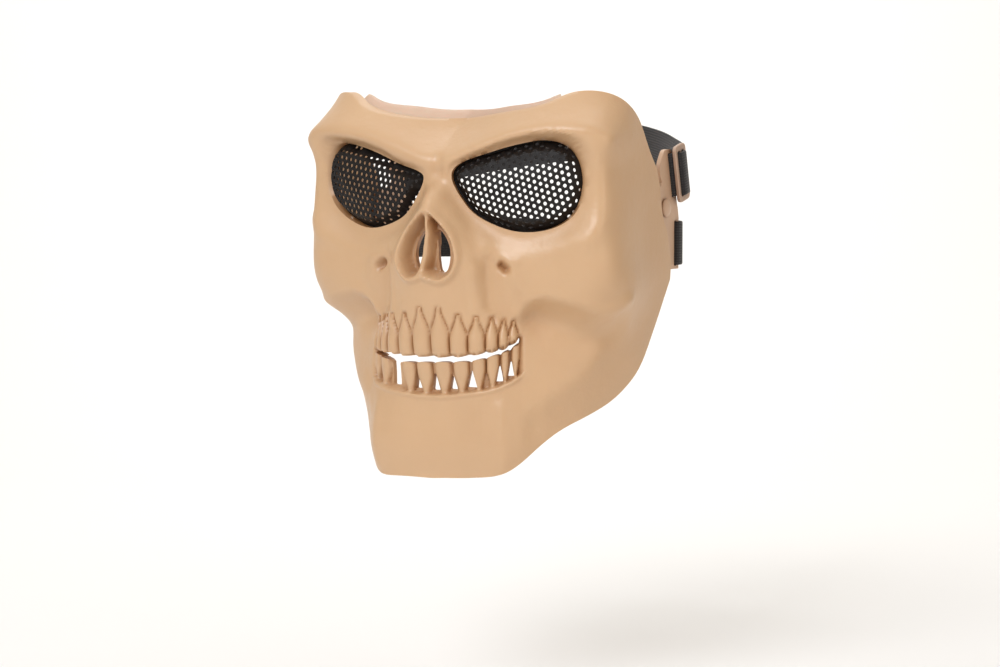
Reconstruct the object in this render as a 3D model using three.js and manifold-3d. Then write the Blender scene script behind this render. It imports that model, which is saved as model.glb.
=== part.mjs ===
// Full-face skull mask: one moulded shell with domed wire-mesh eyes, a soft strip on the
// brow edge, and two elastic head straps held by riveted side plates and sliders.
// Millimetres, +Z up. The face looks along -Y and the wearer's left side is +X. The
// origin lies on the upright axis of the wearer's head, at the height of the eyes.
import * as THREE from 'three';
import { mergeVertices } from 'three/addons/utils/BufferGeometryUtils.js';
import Module from 'manifold-3d';

const wasm = await Module();
wasm.setup();

// Driving sizes
const FACE_REACH = 100;        // head axis to the tip of the nose
const FACE_HEIGHT = 217;       // chin edge to the two peaks of the brow edge
const WALL = 2.6;              // moulded wall of the shell
const REAR_ANGLE = 101.5;      // angle from the nose round to the rear edge
const FIT = 0.35;              // running gap left between neighbouring pieces
const MESH_THICKNESS = 1;      // perforated eye sheet
const MESH_DOME = 5.5;         // how far the eye sheet domes out of its opening
const MESH_FLANGE = 2.4;       // border of the sheet hidden behind the shell
const MESH_INSET = 0.8;        // clearance of the dome inside the opening
const MESH_PITCH = 9.5;        // spacing of the holes that the solid carries
const MESH_HOLE = 5.6;         // width of one hole across its corners
const PAD_THICKNESS = 2.4;     // soft strip behind the brow edge
const PAD_RISE = 5;            // strip standing above the brow edge
const PAD_TUCK = 8;            // strip hidden below the brow edge
const PAD_ANGLE = 45;
const PAD_GAP = 0.6;
const PLATE_THICKNESS = 2.5;
const STRAP_WIDTH = 25;
const STRAP_THICKNESS = 1.8;
const SLOT_WIDTH = 2.8;
const STUD_RADIUS = 5.2;
const STUD_HEIGHT = 2.4;
const STUD_PIN = 2.2;          // radius of the stud's shank
const SLIDER_HEIGHT = 33;
const SLIDER_THICKNESS = 2.3;
const SLIDER_BAR = 2.7;
const SLIDER_WINDOW = 2.9;
const SLIDER_LEAD = 0.8;       // its front edge stands this far in front of the plate's slot
const TOOTH_RELIEF = 3.2;      // how far a tooth stands out of its groove
const TOOTH_GROOVE = 1.2;
const GUM_RECESS = 4;          // lower teeth sit this far behind the chin ledge
const NOSE_DEPTH = 9.5;        // depth of the nose opening behind its rim

const DEG = Math.PI / 180;
const ARC = DEG * 0.96 * FACE_REACH;   // mean run of the surface for one degree

// Sections of the bare face. Each row is one height as a share of FACE_HEIGHT, and each
// other number is the distance of the surface from the head axis as a share of FACE_REACH.
const SECTION_ANGLES = {
  front: 0, bridge: 6, nostril: 12, maxilla: 20, canine: 28, cheek: 38,
  malar: 48, corner: 55, temple: 63, side: 76, ear: 92, rear: 110,
};
const SECTIONS = [
  { at: 0.240, front: .500, bridge: .508, nostril: .522, maxilla: .552, canine: .604, cheek: .702,
    malar: .846, corner: .923, temple: .948, side: .907, ear: .881, rear: .930 },
  { at: 0.166, front: .610, bridge: .620, nostril: .637, maxilla: .680, canine: .742, cheek: .850,
    malar: .970, corner: 1.027, temple: 1.036, side: .959, ear: .911, rear: .949 },
  { at: 0.083, front: .830, bridge: .838, nostril: .853, maxilla: .885, canine: .928, cheek: 1.008,
    malar: 1.110, corner: 1.150, temple: 1.090, side: .982, ear: .942, rear: .968 },
  { at: 0.009, front: .860, bridge: .857, nostril: .855, maxilla: .864, canine: .890, cheek: .965,
    malar: 1.078, corner: 1.125, temple: 1.070, side: .981, ear: .942, rear: .968 },
  { at: -0.060, front: 1.010, bridge: .898, nostril: .868, maxilla: .859, canine: .876, cheek: .950,
    malar: 1.076, corner: 1.129, temple: 1.081, side: .981, ear: .942, rear: .968 },
  { at: -0.124, front: 1.010, bridge: .975, nostril: .912, maxilla: .879, canine: .881, cheek: .960,
    malar: 1.086, corner: 1.140, temple: 1.088, side: .982, ear: .942, rear: .968 },
  { at: -0.207, front: 1.000, bridge: 1.006, nostril: .987, maxilla: .922, canine: .914, cheek: .977,
    malar: 1.087, corner: 1.150, temple: 1.104, side: .987, ear: .942, rear: .968 },
  { at: -0.290, front: .985, bridge: .981, nostril: .964, maxilla: .922, canine: .902, cheek: .967,
    malar: 1.066, corner: 1.125, temple: 1.104, side: .992, ear: .932, rear: .968 },
  { at: -0.369, front: .955, bridge: .954, nostril: .947, maxilla: .924, canine: .888, cheek: .889,
    malar: .969, corner: 1.022, temple: 1.028, side: .945, ear: .912, rear: .934 },
  { at: -0.452, front: .930, bridge: .932, nostril: .933, maxilla: .926, canine: .903, cheek: .880,
    malar: .905, corner: .926, temple: .920, side: .897, ear: .884, rear: .902 },
  { at: -0.535, front: .895, bridge: .898, nostril: .907, maxilla: .915, canine: .908, cheek: .898,
    malar: .895, corner: .888, temple: .878, side: .857, ear: .862, rear: .873 },
  { at: -0.622, front: .880, bridge: .884, nostril: .898, maxilla: .927, canine: .930, cheek: .888,
    malar: .859, corner: .849, temple: .828, side: .815, ear: .823, rear: .843 },
  { at: -0.700, front: .885, bridge: .889, nostril: .903, maxilla: .933, canine: .938, cheek: .877,
    malar: .835, corner: .808, temple: .785, side: .768, ear: .782, rear: .804 },
  { at: -0.774, front: .860, bridge: .864, nostril: .878, maxilla: .905, canine: .902, cheek: .826,
    malar: .777, corner: .751, temple: .732, side: .718, ear: .732, rear: .755 },
];

// Free edges of the shell: angle from the nose, height as a share of FACE_HEIGHT on the
// wearer's right and left.
const TOP_EDGE = [
  { angle: 0, right: .142, left: .142 }, { angle: 16, right: .143, left: .149 },
  { angle: 30, right: .155, left: .162 }, { angle: 42, right: .180, left: .182 },
  { angle: 51, right: .209, left: .208 }, { angle: 58, right: .209, left: .209 },
  { angle: 66, right: .188, left: .188 }, { angle: 71, right: .162, left: .162 },
  { angle: 76, right: .125, left: .125 }, { angle: 80, right: .080, left: .080 },
  { angle: 86, right: .028, left: .028 }, { angle: 89, right: .002, left: .002 },
  { angle: 91, right: -.039, left: -.039 }, { angle: 93.2, right: -.104, left: -.104 },
  { angle: 97, right: -.146, left: -.146 }, { angle: 99.5, right: -.190, left: -.190 },
  { angle: 101.5, right: -.235, left: -.235 },
];
const CHIN_EDGE = [
  { angle: 0, right: -.779, left: -.776 }, { angle: 18, right: -.779, left: -.768 },
  { angle: 26, right: -.776, left: -.756 }, { angle: 31, right: -.758, left: -.735 },
  { angle: 37, right: -.715, left: -.700 }, { angle: 46, right: -.662, left: -.656 },
  { angle: 58, right: -.622, left: -.620 }, { angle: 71, right: -.582, left: -.582 },
  { angle: 79, right: -.545, left: -.545 }, { angle: 84, right: -.511, left: -.511 },
  { angle: 91, right: -.427, left: -.427 }, { angle: 96, right: -.350, left: -.350 },
  { angle: 101.5, right: -.280, left: -.280 },
];
// The brow line rises from the nose to the temple: lift of the sections there.
const BROW_LIFT = [
  { angle: 0, lift: -.041 }, { angle: 12, lift: -.023 }, { angle: 28, lift: .007 },
  { angle: 45, lift: .023 }, { angle: 58, lift: .014 }, { angle: 75, lift: .005 },
  { angle: 110, lift: 0 },
];

// Soft ridges and hollows, the same on both sides: path of angle and height share, how
// far the crest stands out of the face (minus: sinks in) and its half width.
const FOLDS = [
  { name: 'brow ridge', out: .022, wide: .050,
    path: [[1, .035], [8, .046], [16, .069], [28, .099], [40, .115], [50, .115], [55.5, .092]] },
  { name: 'outer eye rim', out: .016, wide: .055,
    path: [[54, .065], [53.5, -.018], [53, -.11], [50, -.166]] },
  { name: 'below the eye', out: .010, wide: .060, path: [[22, -.17], [32, -.189], [44, -.175], [52, -.129]] },
  { name: 'canine hollow', out: -.022, wide: .042, path: [[21, -.244], [21.5, -.295], [23, -.35]] },
  { name: 'cheek arch', out: .018, wide: .050,
    path: [[31, -.35], [34, -.318], [39, -.304], [48, -.323], [54.5, -.346], [60, -.346], [66, -.318]] },
  { name: 'cheek hollow', out: -.042, wide: .095,
    path: [[38, -.364], [45, -.378], [54, -.406], [62, -.406]] },
  { name: 'jaw crest', out: .016, wide: .080, path: [[62, -.442], [55, -.507], [42, -.558], [36, -.59]] },
  { name: 'chin corner', out: .010, wide: .045, path: [[25.5, -.59], [26, -.737]] },
  { name: 'nose flank', out: -.016, wide: .050, path: [[9, -.065], [14, -.138], [17, -.207]] },
];

// Openings, as closed outlines of angle and height share.
const EYE_LEFT_OUTLINE = [
  [5.6, -.005], [9, .028], [20.2, .055], [31.4, .077], [39.5, .086], [45.9, .075], [49.4, .036],
  [50.3, -.035], [47.4, -.104], [40.1, -.139], [29, -.142], [16, -.106], [9.3, -.058],
];
const EYE_RIGHT_OUTLINE = [
  [6.4, -.010], [9.5, .008], [19.1, .026], [29.5, .052], [38.5, .071], [45.7, .077], [49.2, .048],
  [50.3, -.020], [47.6, -.087], [40.2, -.130], [30.6, -.141], [17, -.110], [9.6, -.055],
];
const NOSE_OUTLINE = [
  [0, -.095], [4.6, -.122], [8.1, -.156], [9.8, -.189], [10.1, -.219], [8.4, -.248], [4.8, -.264],
  [0, -.267], [-4.8, -.264], [-8.4, -.248], [-10.1, -.219], [-9.8, -.189], [-8.1, -.156], [-4.6, -.122],
];
const NOSTRIL_OUTLINE = [
  [2.2, -.140], [4.5, -.152], [6.6, -.182], [6.9, -.212], [5.7, -.242], [3.4, -.248], [2.6, -.218], [2.4, -.176],
];
// Flat plane that the eye opening lies in: reach at the nose and slope to the side.
const EYE_PLANE = { reach: .865, slope: .22 };

// Teeth. Upper ones are the same on both sides: the angle of each edge, and the height
// where each root ends. Lower ones stand singly, with gaps between them.
const UPPER_EDGES = [0, 7.2, 13.7, 19.6, 24, 27.6, 31];
const UPPER_ROOTS = [-.339, -.355, -.359, -.362, -.366, -.371];
const MOUTH_LINE = [
  { angle: -34, at: -.458, open: .005 }, { angle: -28, at: -.459, open: .012 },
  { angle: -9, at: -.464, open: .012 }, { angle: 0, at: -.464, open: .012 },
  { angle: 9, at: -.462, open: .012 }, { angle: 16, at: -.455, open: .013 },
  { angle: 22, at: -.448, open: .009 }, { angle: 26, at: -.441, open: .006 },
  { angle: 29, at: -.429, open: .007 }, { angle: 34, at: -.408, open: .005 },
];
const LOWER_TEETH = [
  { angle: -30.2, half: 2.6 }, { angle: -24.2, half: 3.3 },
  { angle: -11.2, half: 3 }, { angle: -4.4, half: 3.3 }, { angle: 3.4, half: 3.3 },
  { angle: 10.5, half: 3 }, { angle: 17, half: 2.5 },
  { angle: 22, half: 2.3 }, { angle: 26.3, half: 1.5 }, { angle: 30, half: 1.5 },
];
const GUM_LEDGE = [
  { angle: -34, at: -.527 }, { angle: -30.6, at: -.536 }, { angle: -22, at: -.55 }, { angle: -12, at: -.561 },
  { angle: 0, at: -.564 }, { angle: 12, at: -.555 }, { angle: 22.6, at: -.54 }, { angle: 29.5, at: -.518 },
  { angle: 34, at: -.498 },
];
const TOOTH_GAPS = [
  { angle: -18.3, top: -.456, foot: -.544, half: 2.1, narrow: 1 },
  { angle: -7.9, top: -.500, foot: -.549, half: 1.9, narrow: .2 },
  { angle: -.6, top: -.507, foot: -.551, half: 1.7, narrow: .2 },
  { angle: 6.9, top: -.511, foot: -.547, half: 1.6, narrow: .2 },
  { angle: 14.5, top: -.495, foot: -.540, half: 2.1, narrow: .2 },
  { angle: 24.4, top: -.483, foot: -.524, half: 1.3, narrow: .2 },
  { angle: 28.5, top: -.472, foot: -.510, half: 1.1, narrow: .2 },
];
const MOUTH_ANGLE = 31.5;      // corners of the mouth

// Side plate, flat against the inside of the shell's rear edge: distance back from the
// head axis, then height share.
const PLATE_SEAT = .875 * FACE_REACH;  // inner face of the plate, from the mid plane
const PLATE_OUTLINE = [
  [17.5, .060], [14.5, .050], [10.6, .022], [10.6, -.006], [12.8, -.026], [8, -.044], [-2, -.056],
  [-6, -.083], [-6, -.12], [0, -.148], [6, -.175], [10, -.216], [14.5, -.255], [35, -.255],
  [35.6, -.250], [35.6, -.118], [34.4, -.096], [32.8, -.075], [25.5, .056], [24, .062],
];
const STUD_PLACE = [17, -.092];
// Each strap: middle of its slot, the slope at which it leaves, and its run back round
// the head as [side, back, height share].
const UPPER_STRAP = {
  slot: [24.8, -.007], slope: 14, slider: true,
  run: [[.85, 49.5, .020], [.76, 60.5, .030], [.63, 73, .046], [.46, 85, .062], [.24, 94.5, .077]],
  rear: [0, 98, .083],
};
const LOWER_STRAP = {
  slot: [31, -.187], slope: 0, slider: false,
  run: [[.895, 40, -.187], [.845, 49.5, -.188], [.755, 60.5, -.189], [.62, 73, -.192], [.45, 84.5, -.195],
    [.23, 93.5, -.198]],
  rear: [0, 96.5, -.199],
};
const TAIL_LENGTH = 15;        // end of the webbing folded back behind the plate

// Natural cubic spline through knots, sampled at x.
function spline(xs, ys, x) {
  const n = xs.length;
  const bend = new Array(n).fill(0);
  const carry = new Array(n).fill(0);
  for (let i = 1; i < n - 1; i += 1) {
    const left = xs[i] - xs[i - 1];
    const right = xs[i + 1] - xs[i];
    const pivot = 2 * (left + right) - left * carry[i - 1];
    const load = 6 * ((ys[i + 1] - ys[i]) / right - (ys[i] - ys[i - 1]) / left);
    carry[i] = right / pivot;
    bend[i] = (load - left * bend[i - 1]) / pivot;
  }
  for (let i = n - 2; i > 0; i -= 1) bend[i] -= carry[i] * bend[i + 1];
  const at = Math.min(Math.max(x, xs[0]), xs[n - 1]);
  let k = 0;
  while (k < n - 2 && at > xs[k + 1]) k += 1;
  const step = xs[k + 1] - xs[k];
  const a = (xs[k + 1] - at) / step;
  const b = 1 - a;
  return a * ys[k] + b * ys[k + 1] + ((a ** 3 - a) * bend[k] + (b ** 3 - b) * bend[k + 1]) * step * step / 6;
}

function ease(from, to, x) {
  const t = Math.min(Math.max((x - from) / (to - from), 0), 1);
  return t * t * (3 - 2 * t);
}

const mirrored = (rows) => [...rows.slice(1, 2).map((row) => ({ ...row, angle: -row.angle })), ...rows];
const column = (rows, name) => rows.map((row) => row[name]);
const along = (rows, name, angle) => spline(column(rows, 'angle'), column(rows, name), angle);

const freeEdge = (rows, angle) => FACE_HEIGHT
  * along(mirrored(rows), angle < 0 ? 'right' : 'left', Math.abs(angle));
const topEdge = (angle) => freeEdge(TOP_EDGE, angle);
const chinEdge = (angle) => freeEdge(CHIN_EDGE, angle);
const mouthTop = (angle) => FACE_HEIGHT * along(MOUTH_LINE, 'at', angle);
const mouthFoot = (angle) => mouthTop(angle) - FACE_HEIGHT * along(MOUTH_LINE, 'open', angle);
const gumLedge = (angle) => FACE_HEIGHT * along(GUM_LEDGE, 'at', angle);

const ROWS = [...SECTIONS].reverse();
const ROW_HEIGHTS = ROWS.map((row) => row.at * FACE_HEIGHT);
const COLUMN_NAMES = Object.keys(SECTION_ANGLES);
const COLUMN_ANGLES = [-SECTION_ANGLES.bridge, ...COLUMN_NAMES.map((name) => SECTION_ANGLES[name])];
function bareFace(angle, z) {
  const reach = COLUMN_NAMES.map((name) => spline(ROW_HEIGHTS, ROWS.map((row) => row[name]), z));
  return FACE_REACH * spline(COLUMN_ANGLES, [reach[1], ...reach], angle);
}

// Distance in the face's surface from a point to a path of [angle, height] points.
function pathDistance(path, angle, z) {
  let nearest = Infinity;
  for (let i = 0; i + 1 < path.length; i += 1) {
    const ax = path[i][0] * ARC;
    const az = path[i][1] * FACE_HEIGHT;
    const ex = path[i + 1][0] * ARC - ax;
    const ez = path[i + 1][1] * FACE_HEIGHT - az;
    const t = Math.min(Math.max(((angle * ARC - ax) * ex + (z - az) * ez) / (ex * ex + ez * ez), 0), 1);
    nearest = Math.min(nearest, Math.hypot(angle * ARC - ax - t * ex, z - az - t * ez));
  }
  return nearest;
}

// Closed smooth outline through hand-set points.
function outline(points, perPoint) {
  const curve = new THREE.CatmullRomCurve3(
    points.map(([angle, at]) => new THREE.Vector3(angle, at * 100, 0)), true, 'catmullrom', 0.5);
  const count = Math.round(points.length * perPoint);
  return Array.from({ length: count }, (_, i) => {
    const p = curve.getPoint(i / count);
    return [p.x, p.y / 100];
  });
}
const EYES = { left: outline(EYE_LEFT_OUTLINE, 2.3), right: outline(EYE_RIGHT_OUTLINE, 2.3) };
const NOSE = outline(NOSE_OUTLINE, 2);
const NOSTRIL = outline(NOSTRIL_OUTLINE, 2);

// Distance to a closed outline, negative inside it.
function outlineDistance(loop, angle, z) {
  let inside = false;
  for (let i = 0, j = loop.length - 1; i < loop.length; j = i, i += 1) {
    const [ax, ay] = loop[i];
    const [bx, by] = loop[j];
    const at = z / FACE_HEIGHT;
    if ((ay > at) !== (by > at) && angle < (bx - ax) * (at - ay) / (by - ay) + ax) inside = !inside;
  }
  const distance = pathDistance([...loop, loop[0]], angle, z);
  return inside ? -distance : distance;
}

const eyePlane = (angle) => FACE_REACH * EYE_PLANE.reach
  / (Math.cos(angle * DEG) + EYE_PLANE.slope * Math.sin(angle * DEG));

// Share by which the socket draws the face back to the eye plane: full at the opening,
// fading fast under the brow and slowly towards the cheek.
function socketPull(eye, angle, z) {
  const distance = Math.max(outlineDistance(eye, angle, z), 0);
  const centre = { angle: 29, at: -.028 };
  const turn = Math.atan2(z - centre.at * FACE_HEIGHT, (angle - centre.angle) * ARC);
  const above = ease(-0.25, 0.45, Math.sin(turn));
  const slow = FACE_REACH * (0.095 * (1 - above) + 0.048 * above);
  const width = slow * (1 - 0.3 * ease(0.2, 1, Math.cos(turn))) * (1 - 0.35 * ease(0.3, 1, -Math.cos(turn)));
  return Math.exp(-((distance / width) ** 2));
}

// Depth of the nose opening behind its rim, with the thin septum left standing.
function noseRecess(angle, z) {
  const distance = outlineDistance(NOSE, angle, z);
  const rim = 0.019 * FACE_REACH * Math.exp(-(((distance - 1.2) / 1.9) ** 2));
  const septum = [[0, -.092], [.5, -.152], [-.3, -.203], [-2.6, -.263]];
  const wall = Math.exp(-((pathDistance(septum, angle, z) / 2.3) ** 4));
  return rim - NOSE_DEPTH * ease(0.8, -4.4, distance) * (1 - 0.88 * wall);
}

function upperTeeth(angle, z) {
  let level = 0;
  for (let i = 0; i < UPPER_ROOTS.length; i += 1) {
    const middle = (UPPER_EDGES[i] + UPPER_EDGES[i + 1]) / 2 * Math.sign(angle || 1);
    const tip = mouthTop(middle);
    const up = (z - tip) / (UPPER_ROOTS[i] * FACE_HEIGHT - tip);
    const half = (UPPER_EDGES[i + 1] - UPPER_EDGES[i]) / 2 * ARC * (1 - 0.8 * ease(0.42, 1, up));
    const across = Math.abs(angle - middle) * ARC;
    if (up < -0.1 || up > 1.05) continue;
    const crown = Math.sqrt(Math.max(1 - (across / half) ** 2, 0));
    if (across < half) level = -TOOTH_GROOVE + TOOTH_RELIEF * (1 - 0.45 * ease(0.3, 1, up)) * crown ** 0.7;
    else if (across < half + 1.6 && level === 0) level = -TOOTH_GROOVE * (1 - (across - half) / 1.6);
  }
  return level;
}

function lowerTeeth(angle, z) {
  const top = mouthFoot(angle);
  const ledge = gumLedge(angle);
  const band = ease(0, 1.8, z - ledge) * (1 - ease(1, 5, z - top));
  let tooth = 0;
  for (const { angle: middle, half } of LOWER_TEETH) {
    const down = Math.min(Math.max((top - z) / (top - ledge), 0), 1);
    const reach = half * ARC * (1 - 0.5 * ease(0.3, 0.95, down));
    const across = Math.abs(angle - middle) * ARC;
    const crown = Math.sqrt(Math.max(1 - (across / reach) ** 2, 0));
    tooth = Math.max(tooth, (GUM_RECESS - 0.6 - 0.6 * down) * crown ** 0.7);
  }
  return (tooth - GUM_RECESS) * band;
}

// Distance of the finished outer face from the head axis.
function face(signed, z) {
  const angle = Math.abs(signed);
  const near = ease(-0.074, 0.028, z / FACE_HEIGHT) * (1 - 0.55 * ease(0.101, 0.221, z / FACE_HEIGHT));
  let reach = bareFace(angle, z - FACE_HEIGHT * along(BROW_LIFT, 'lift', angle) * near);
  for (const fold of FOLDS) {
    const distance = pathDistance(fold.path, angle, z) / (fold.wide * FACE_REACH);
    reach += fold.out * FACE_REACH * Math.exp(-(distance ** 2));
  }
  const [right, left] = [EYES.right, EYES.left].map((eye) => socketPull(eye, angle, z));
  reach += (eyePlane(angle) - reach) * (right + (left - right) * ease(-5, 5, signed));
  reach += noseRecess(signed, z);
  const mouth = 1 - ease(MOUTH_ANGLE - 1, MOUTH_ANGLE + 2, angle);
  return reach + mouth * (upperTeeth(signed, z) + lowerTeeth(signed, z));
}

const polar = (angle, reach, z) => new THREE.Vector3(
  reach * Math.sin(angle * DEG), -reach * Math.cos(angle * DEG), z);

// Radial distance that gives a wall of the named thickness on a sloping face.
const THICKEST = 1.45;
function wallRun(angle, z) {
  const step = 2;
  const climb = (face(angle, z + step) - face(angle, z - step)) / (2 * step);
  const turn = (face(angle + 1, z) - face(angle - 1, z)) / (2 * ARC);
  return Math.min(Math.hypot(1, climb, turn), THICKEST);
}

function fromTriangles(points, triangles) {
  const geometry = new THREE.BufferGeometry();
  const places = points.flatMap((p) => [p.x, p.y, p.z]);
  geometry.setAttribute('position', new THREE.Float32BufferAttribute(places, 3));
  geometry.setIndex(triangles.flat());
  return geometry;
}

// Closed solid between an outer grid and an inner grid that keeps only some of its rows
// and columns. outer(i, j) and inner(i, j) give points; keepI and keepJ list what stays.
function sheetSolid(countI, countJ, outer, inner, keepI, keepJ) {
  const points = [];
  const triangles = [];
  const outerId = [];
  const innerId = new Map();
  for (let i = 0; i < countI; i += 1) {
    outerId.push([]);
    for (let j = 0; j < countJ; j += 1) outerId[i].push(points.push(outer(i, j)) - 1);
  }
  for (const i of keepI) {
    for (const j of keepJ) innerId.set(`${i},${j}`, points.push(inner(i, j)) - 1);
  }
  const back = (i, j) => innerId.get(`${i},${j}`);
  for (let i = 0; i + 1 < countI; i += 1) {
    for (let j = 0; j + 1 < countJ; j += 1) {
      triangles.push([outerId[i][j], outerId[i + 1][j], outerId[i + 1][j + 1]]);
      triangles.push([outerId[i][j], outerId[i + 1][j + 1], outerId[i][j + 1]]);
    }
  }
  for (let a = 0; a + 1 < keepI.length; a += 1) {
    for (let b = 0; b + 1 < keepJ.length; b += 1) {
      const [i, k, j, m] = [keepI[a], keepI[a + 1], keepJ[b], keepJ[b + 1]];
      triangles.push([back(i, j), back(k, m), back(k, j)]);
      triangles.push([back(i, j), back(i, m), back(k, m)]);
    }
  }
  const border = (fine, coarse, flip) => {
    for (let c = 0; c + 1 < coarse.length; c += 1) {
      const [from, to] = [coarse[c], coarse[c + 1]];
      for (let k = from.at; k < to.at; k += 1) {
        triangles.push(flip ? [fine[k], from.id, fine[k + 1]] : [fine[k], fine[k + 1], from.id]);
      }
      triangles.push(flip ? [fine[to.at], from.id, to.id] : [fine[to.at], to.id, from.id]);
    }
  };
  const lastI = countI - 1;
  const lastJ = countJ - 1;
  border(outerId.map((line) => line[0]), keepI.map((i) => ({ at: i, id: back(i, 0) })), true);
  border(outerId.map((line) => line[lastJ]), keepI.map((i) => ({ at: i, id: back(i, lastJ) })), false);
  border(outerId[0], keepJ.map((j) => ({ at: j, id: back(0, j) })), false);
  border(outerId[lastI], keepJ.map((j) => ({ at: j, id: back(lastI, j) })), true);
  return fromTriangles(points, triangles);
}

function toSolid(geometry) {
  const bare = geometry.clone();
  bare.deleteAttribute('normal');
  bare.deleteAttribute('uv');
  const merged = mergeVertices(bare, 1e-4);
  return new wasm.Manifold(new wasm.Mesh({
    numProp: 3,
    vertProperties: new Float32Array(merged.attributes.position.array),
    triVerts: new Uint32Array(merged.index.array),
  }));
}

// Triangles of a solid, with corners that fall together joined and flat folds dropped.
function fromSolid(solid) {
  const mesh = solid.getMesh();
  const known = new Map();
  const points = [];
  const joined = (k) => {
    const place = [0, 1, 2].map((axis) => mesh.vertProperties[3 * k + axis]);
    const key = place.map((value) => value.toFixed(3)).join();
    if (!known.has(key)) known.set(key, points.push(new THREE.Vector3(...place)) - 1);
    return known.get(key);
  };
  const kept = new Map();
  for (let t = 0; t < mesh.triVerts.length; t += 3) {
    const corners = [0, 1, 2].map((c) => joined(mesh.triVerts[t + c]));
    if (new Set(corners).size < 3) continue;
    const key = [...corners].sort((x, y) => x - y).join();
    if (kept.has(key)) kept.delete(key);
    else kept.set(key, corners);
  }
  return fromTriangles(points, [...kept.values()]);
}

// Plug through the shell: a flat outline of [angle, height share] bent round the head axis.
function bentPlug(loop, from, to) {
  const shape = new THREE.Shape(loop.map(([angle, at]) => new THREE.Vector2(angle, at * FACE_HEIGHT)));
  const geometry = new THREE.ExtrudeGeometry(shape, { depth: to - from, bevelEnabled: false, steps: 1 });
  const place = geometry.attributes.position;
  for (let i = 0; i < place.count; i += 1) {
    const p = polar(place.getX(i), from + place.getZ(i), place.getY(i));
    place.setXYZ(i, p.x, p.y, p.z);
  }
  return toSolid(geometry);
}

// Slit between the teeth: its upper side dips at the middle of each upper tooth.
function mouthOutline() {
  const half = [];
  UPPER_EDGES.forEach((edge, i) => {
    half.push({ angle: edge, dip: -0.7 });
    if (i + 1 < UPPER_EDGES.length) half.push({ angle: (edge + UPPER_EDGES[i + 1]) / 2, dip: 0.3 });
  });
  const across = [...half.slice(1).reverse().map(({ angle, dip }) => ({ angle: -angle, dip })), ...half];
  const upper = across.map(({ angle, dip }) => [angle + 0.3, (mouthTop(angle) - dip) / FACE_HEIGHT]);
  const stops = [-30.5, -26.4, -22.3, -12, 0.4, 12, 17.3, 22.3, 25.4, 28.3, 31];
  const lower = stops.map((angle) => [angle, mouthFoot(angle) / FACE_HEIGHT]);
  return [...lower, ...upper.reverse()];
}

function gapOutline({ angle, top, foot, half, narrow }) {
  const tip = half * narrow;
  return [[angle - half, foot], [angle + half, foot], [angle + tip, top], [angle - tip, top]];
}

// Columns and rows of the shell's grid: three to a tooth over the mouth, wider outside.
function shellGrid() {
  const toothColumns = [0];
  for (let i = 0; i + 1 < UPPER_EDGES.length; i += 1) {
    const span = UPPER_EDGES[i + 1] - UPPER_EDGES[i];
    toothColumns.push(UPPER_EDGES[i] + 0.24 * span, UPPER_EDGES[i] + 0.76 * span, UPPER_EDGES[i + 1]);
  }
  const sideColumns = [35.5, 40.5, 45.5, 50, 54, 58.5, 65, 73, 82, 92, REAR_ANGLE];
  const half = [...toothColumns, ...sideColumns];
  const columns = [...half.slice(1).reverse().map((angle) => -angle), ...half];
  const rows = [-.779, -.76, -.71, -.65, -.595, -.567, -.556, -.53, -.505, -.478, -.462, -.445, -.42,
    -.39, -.362, -.335, -.305, -.278, -.255, -.23, -.2, -.17, -.14, -.11, -.08, -.05, -.015,
    .02, .05, .075, .097, .12, .143];
  const keepColumns = columns.map((angle, i) => i).filter((i) => {
    const angle = Math.abs(columns[i]);
    return angle >= 31 || UPPER_EDGES.some((edge) => Math.abs(edge - angle) < 1e-6);
  });
  const keepRows = rows.map((at, j) => j).filter((j) => ![-.556, -.462].includes(rows[j]));
  return { columns, rows, keepColumns, keepRows };
}

function shellGeometry() {
  const { columns, rows, keepColumns, keepRows } = shellGrid();
  const low = rows[0];
  const high = rows[rows.length - 1];
  const place = columns.map((angle) => rows.map((at) => {
    const share = (at - low) / (high - low);
    const z = chinEdge(angle) + (topEdge(angle) - chinEdge(angle)) * share;
    return { angle, z, reach: face(angle, z) };
  }));
  const outer = (i, j) => polar(place[i][j].angle, place[i][j].reach, place[i][j].z);
  const span = (keep, k) => {
    const at = keep.indexOf(k);
    const from = at > 0 ? keep[at - 1] + 1 : k;
    const to = at + 1 < keep.length ? keep[at + 1] - 1 : k;
    return [Math.min(from, k), Math.max(to, k)];
  };
  // Over the teeth and the nose opening the inside is level with the deepest point near it.
  const rough = (i, j) => {
    const angle = Math.abs(columns[i]);
    return (rows[j] > -.6 && rows[j] < -.34 && angle < 36) || (rows[j] > -.3 && rows[j] < -.08 && angle < 13);
  };
  const inner = (i, j) => {
    const [i0, i1] = rough(i, j) ? span(keepColumns, i) : [i, i];
    const [j0, j1] = rough(i, j) ? span(keepRows, j) : [j, j];
    let reach = Infinity;
    for (let a = i0; a <= i1; a += 1) {
      for (let b = j0; b <= j1; b += 1) reach = Math.min(reach, place[a][b].reach);
    }
    const { angle, z } = place[i][j];
    return polar(angle, reach - WALL * wallRun(angle, z), z);
  };
  let solid = toSolid(sheetSolid(columns.length, rows.length, outer, inner, keepColumns, keepRows));
  const through = (loop) => bentPlug(loop, 0.5 * FACE_REACH, 1.3 * FACE_REACH);
  const flip = (loop) => loop.map(([angle, at]) => [-angle, at]).reverse();
  const openings = [
    EYES.left, flip(EYES.right), NOSTRIL, flip(NOSTRIL), mouthOutline(), ...TOOTH_GAPS.map(gapOutline),
  ];
  for (const loop of openings) solid = solid.subtract(through(loop));
  return fromSolid(solid.simplify(0.05));
}

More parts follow.
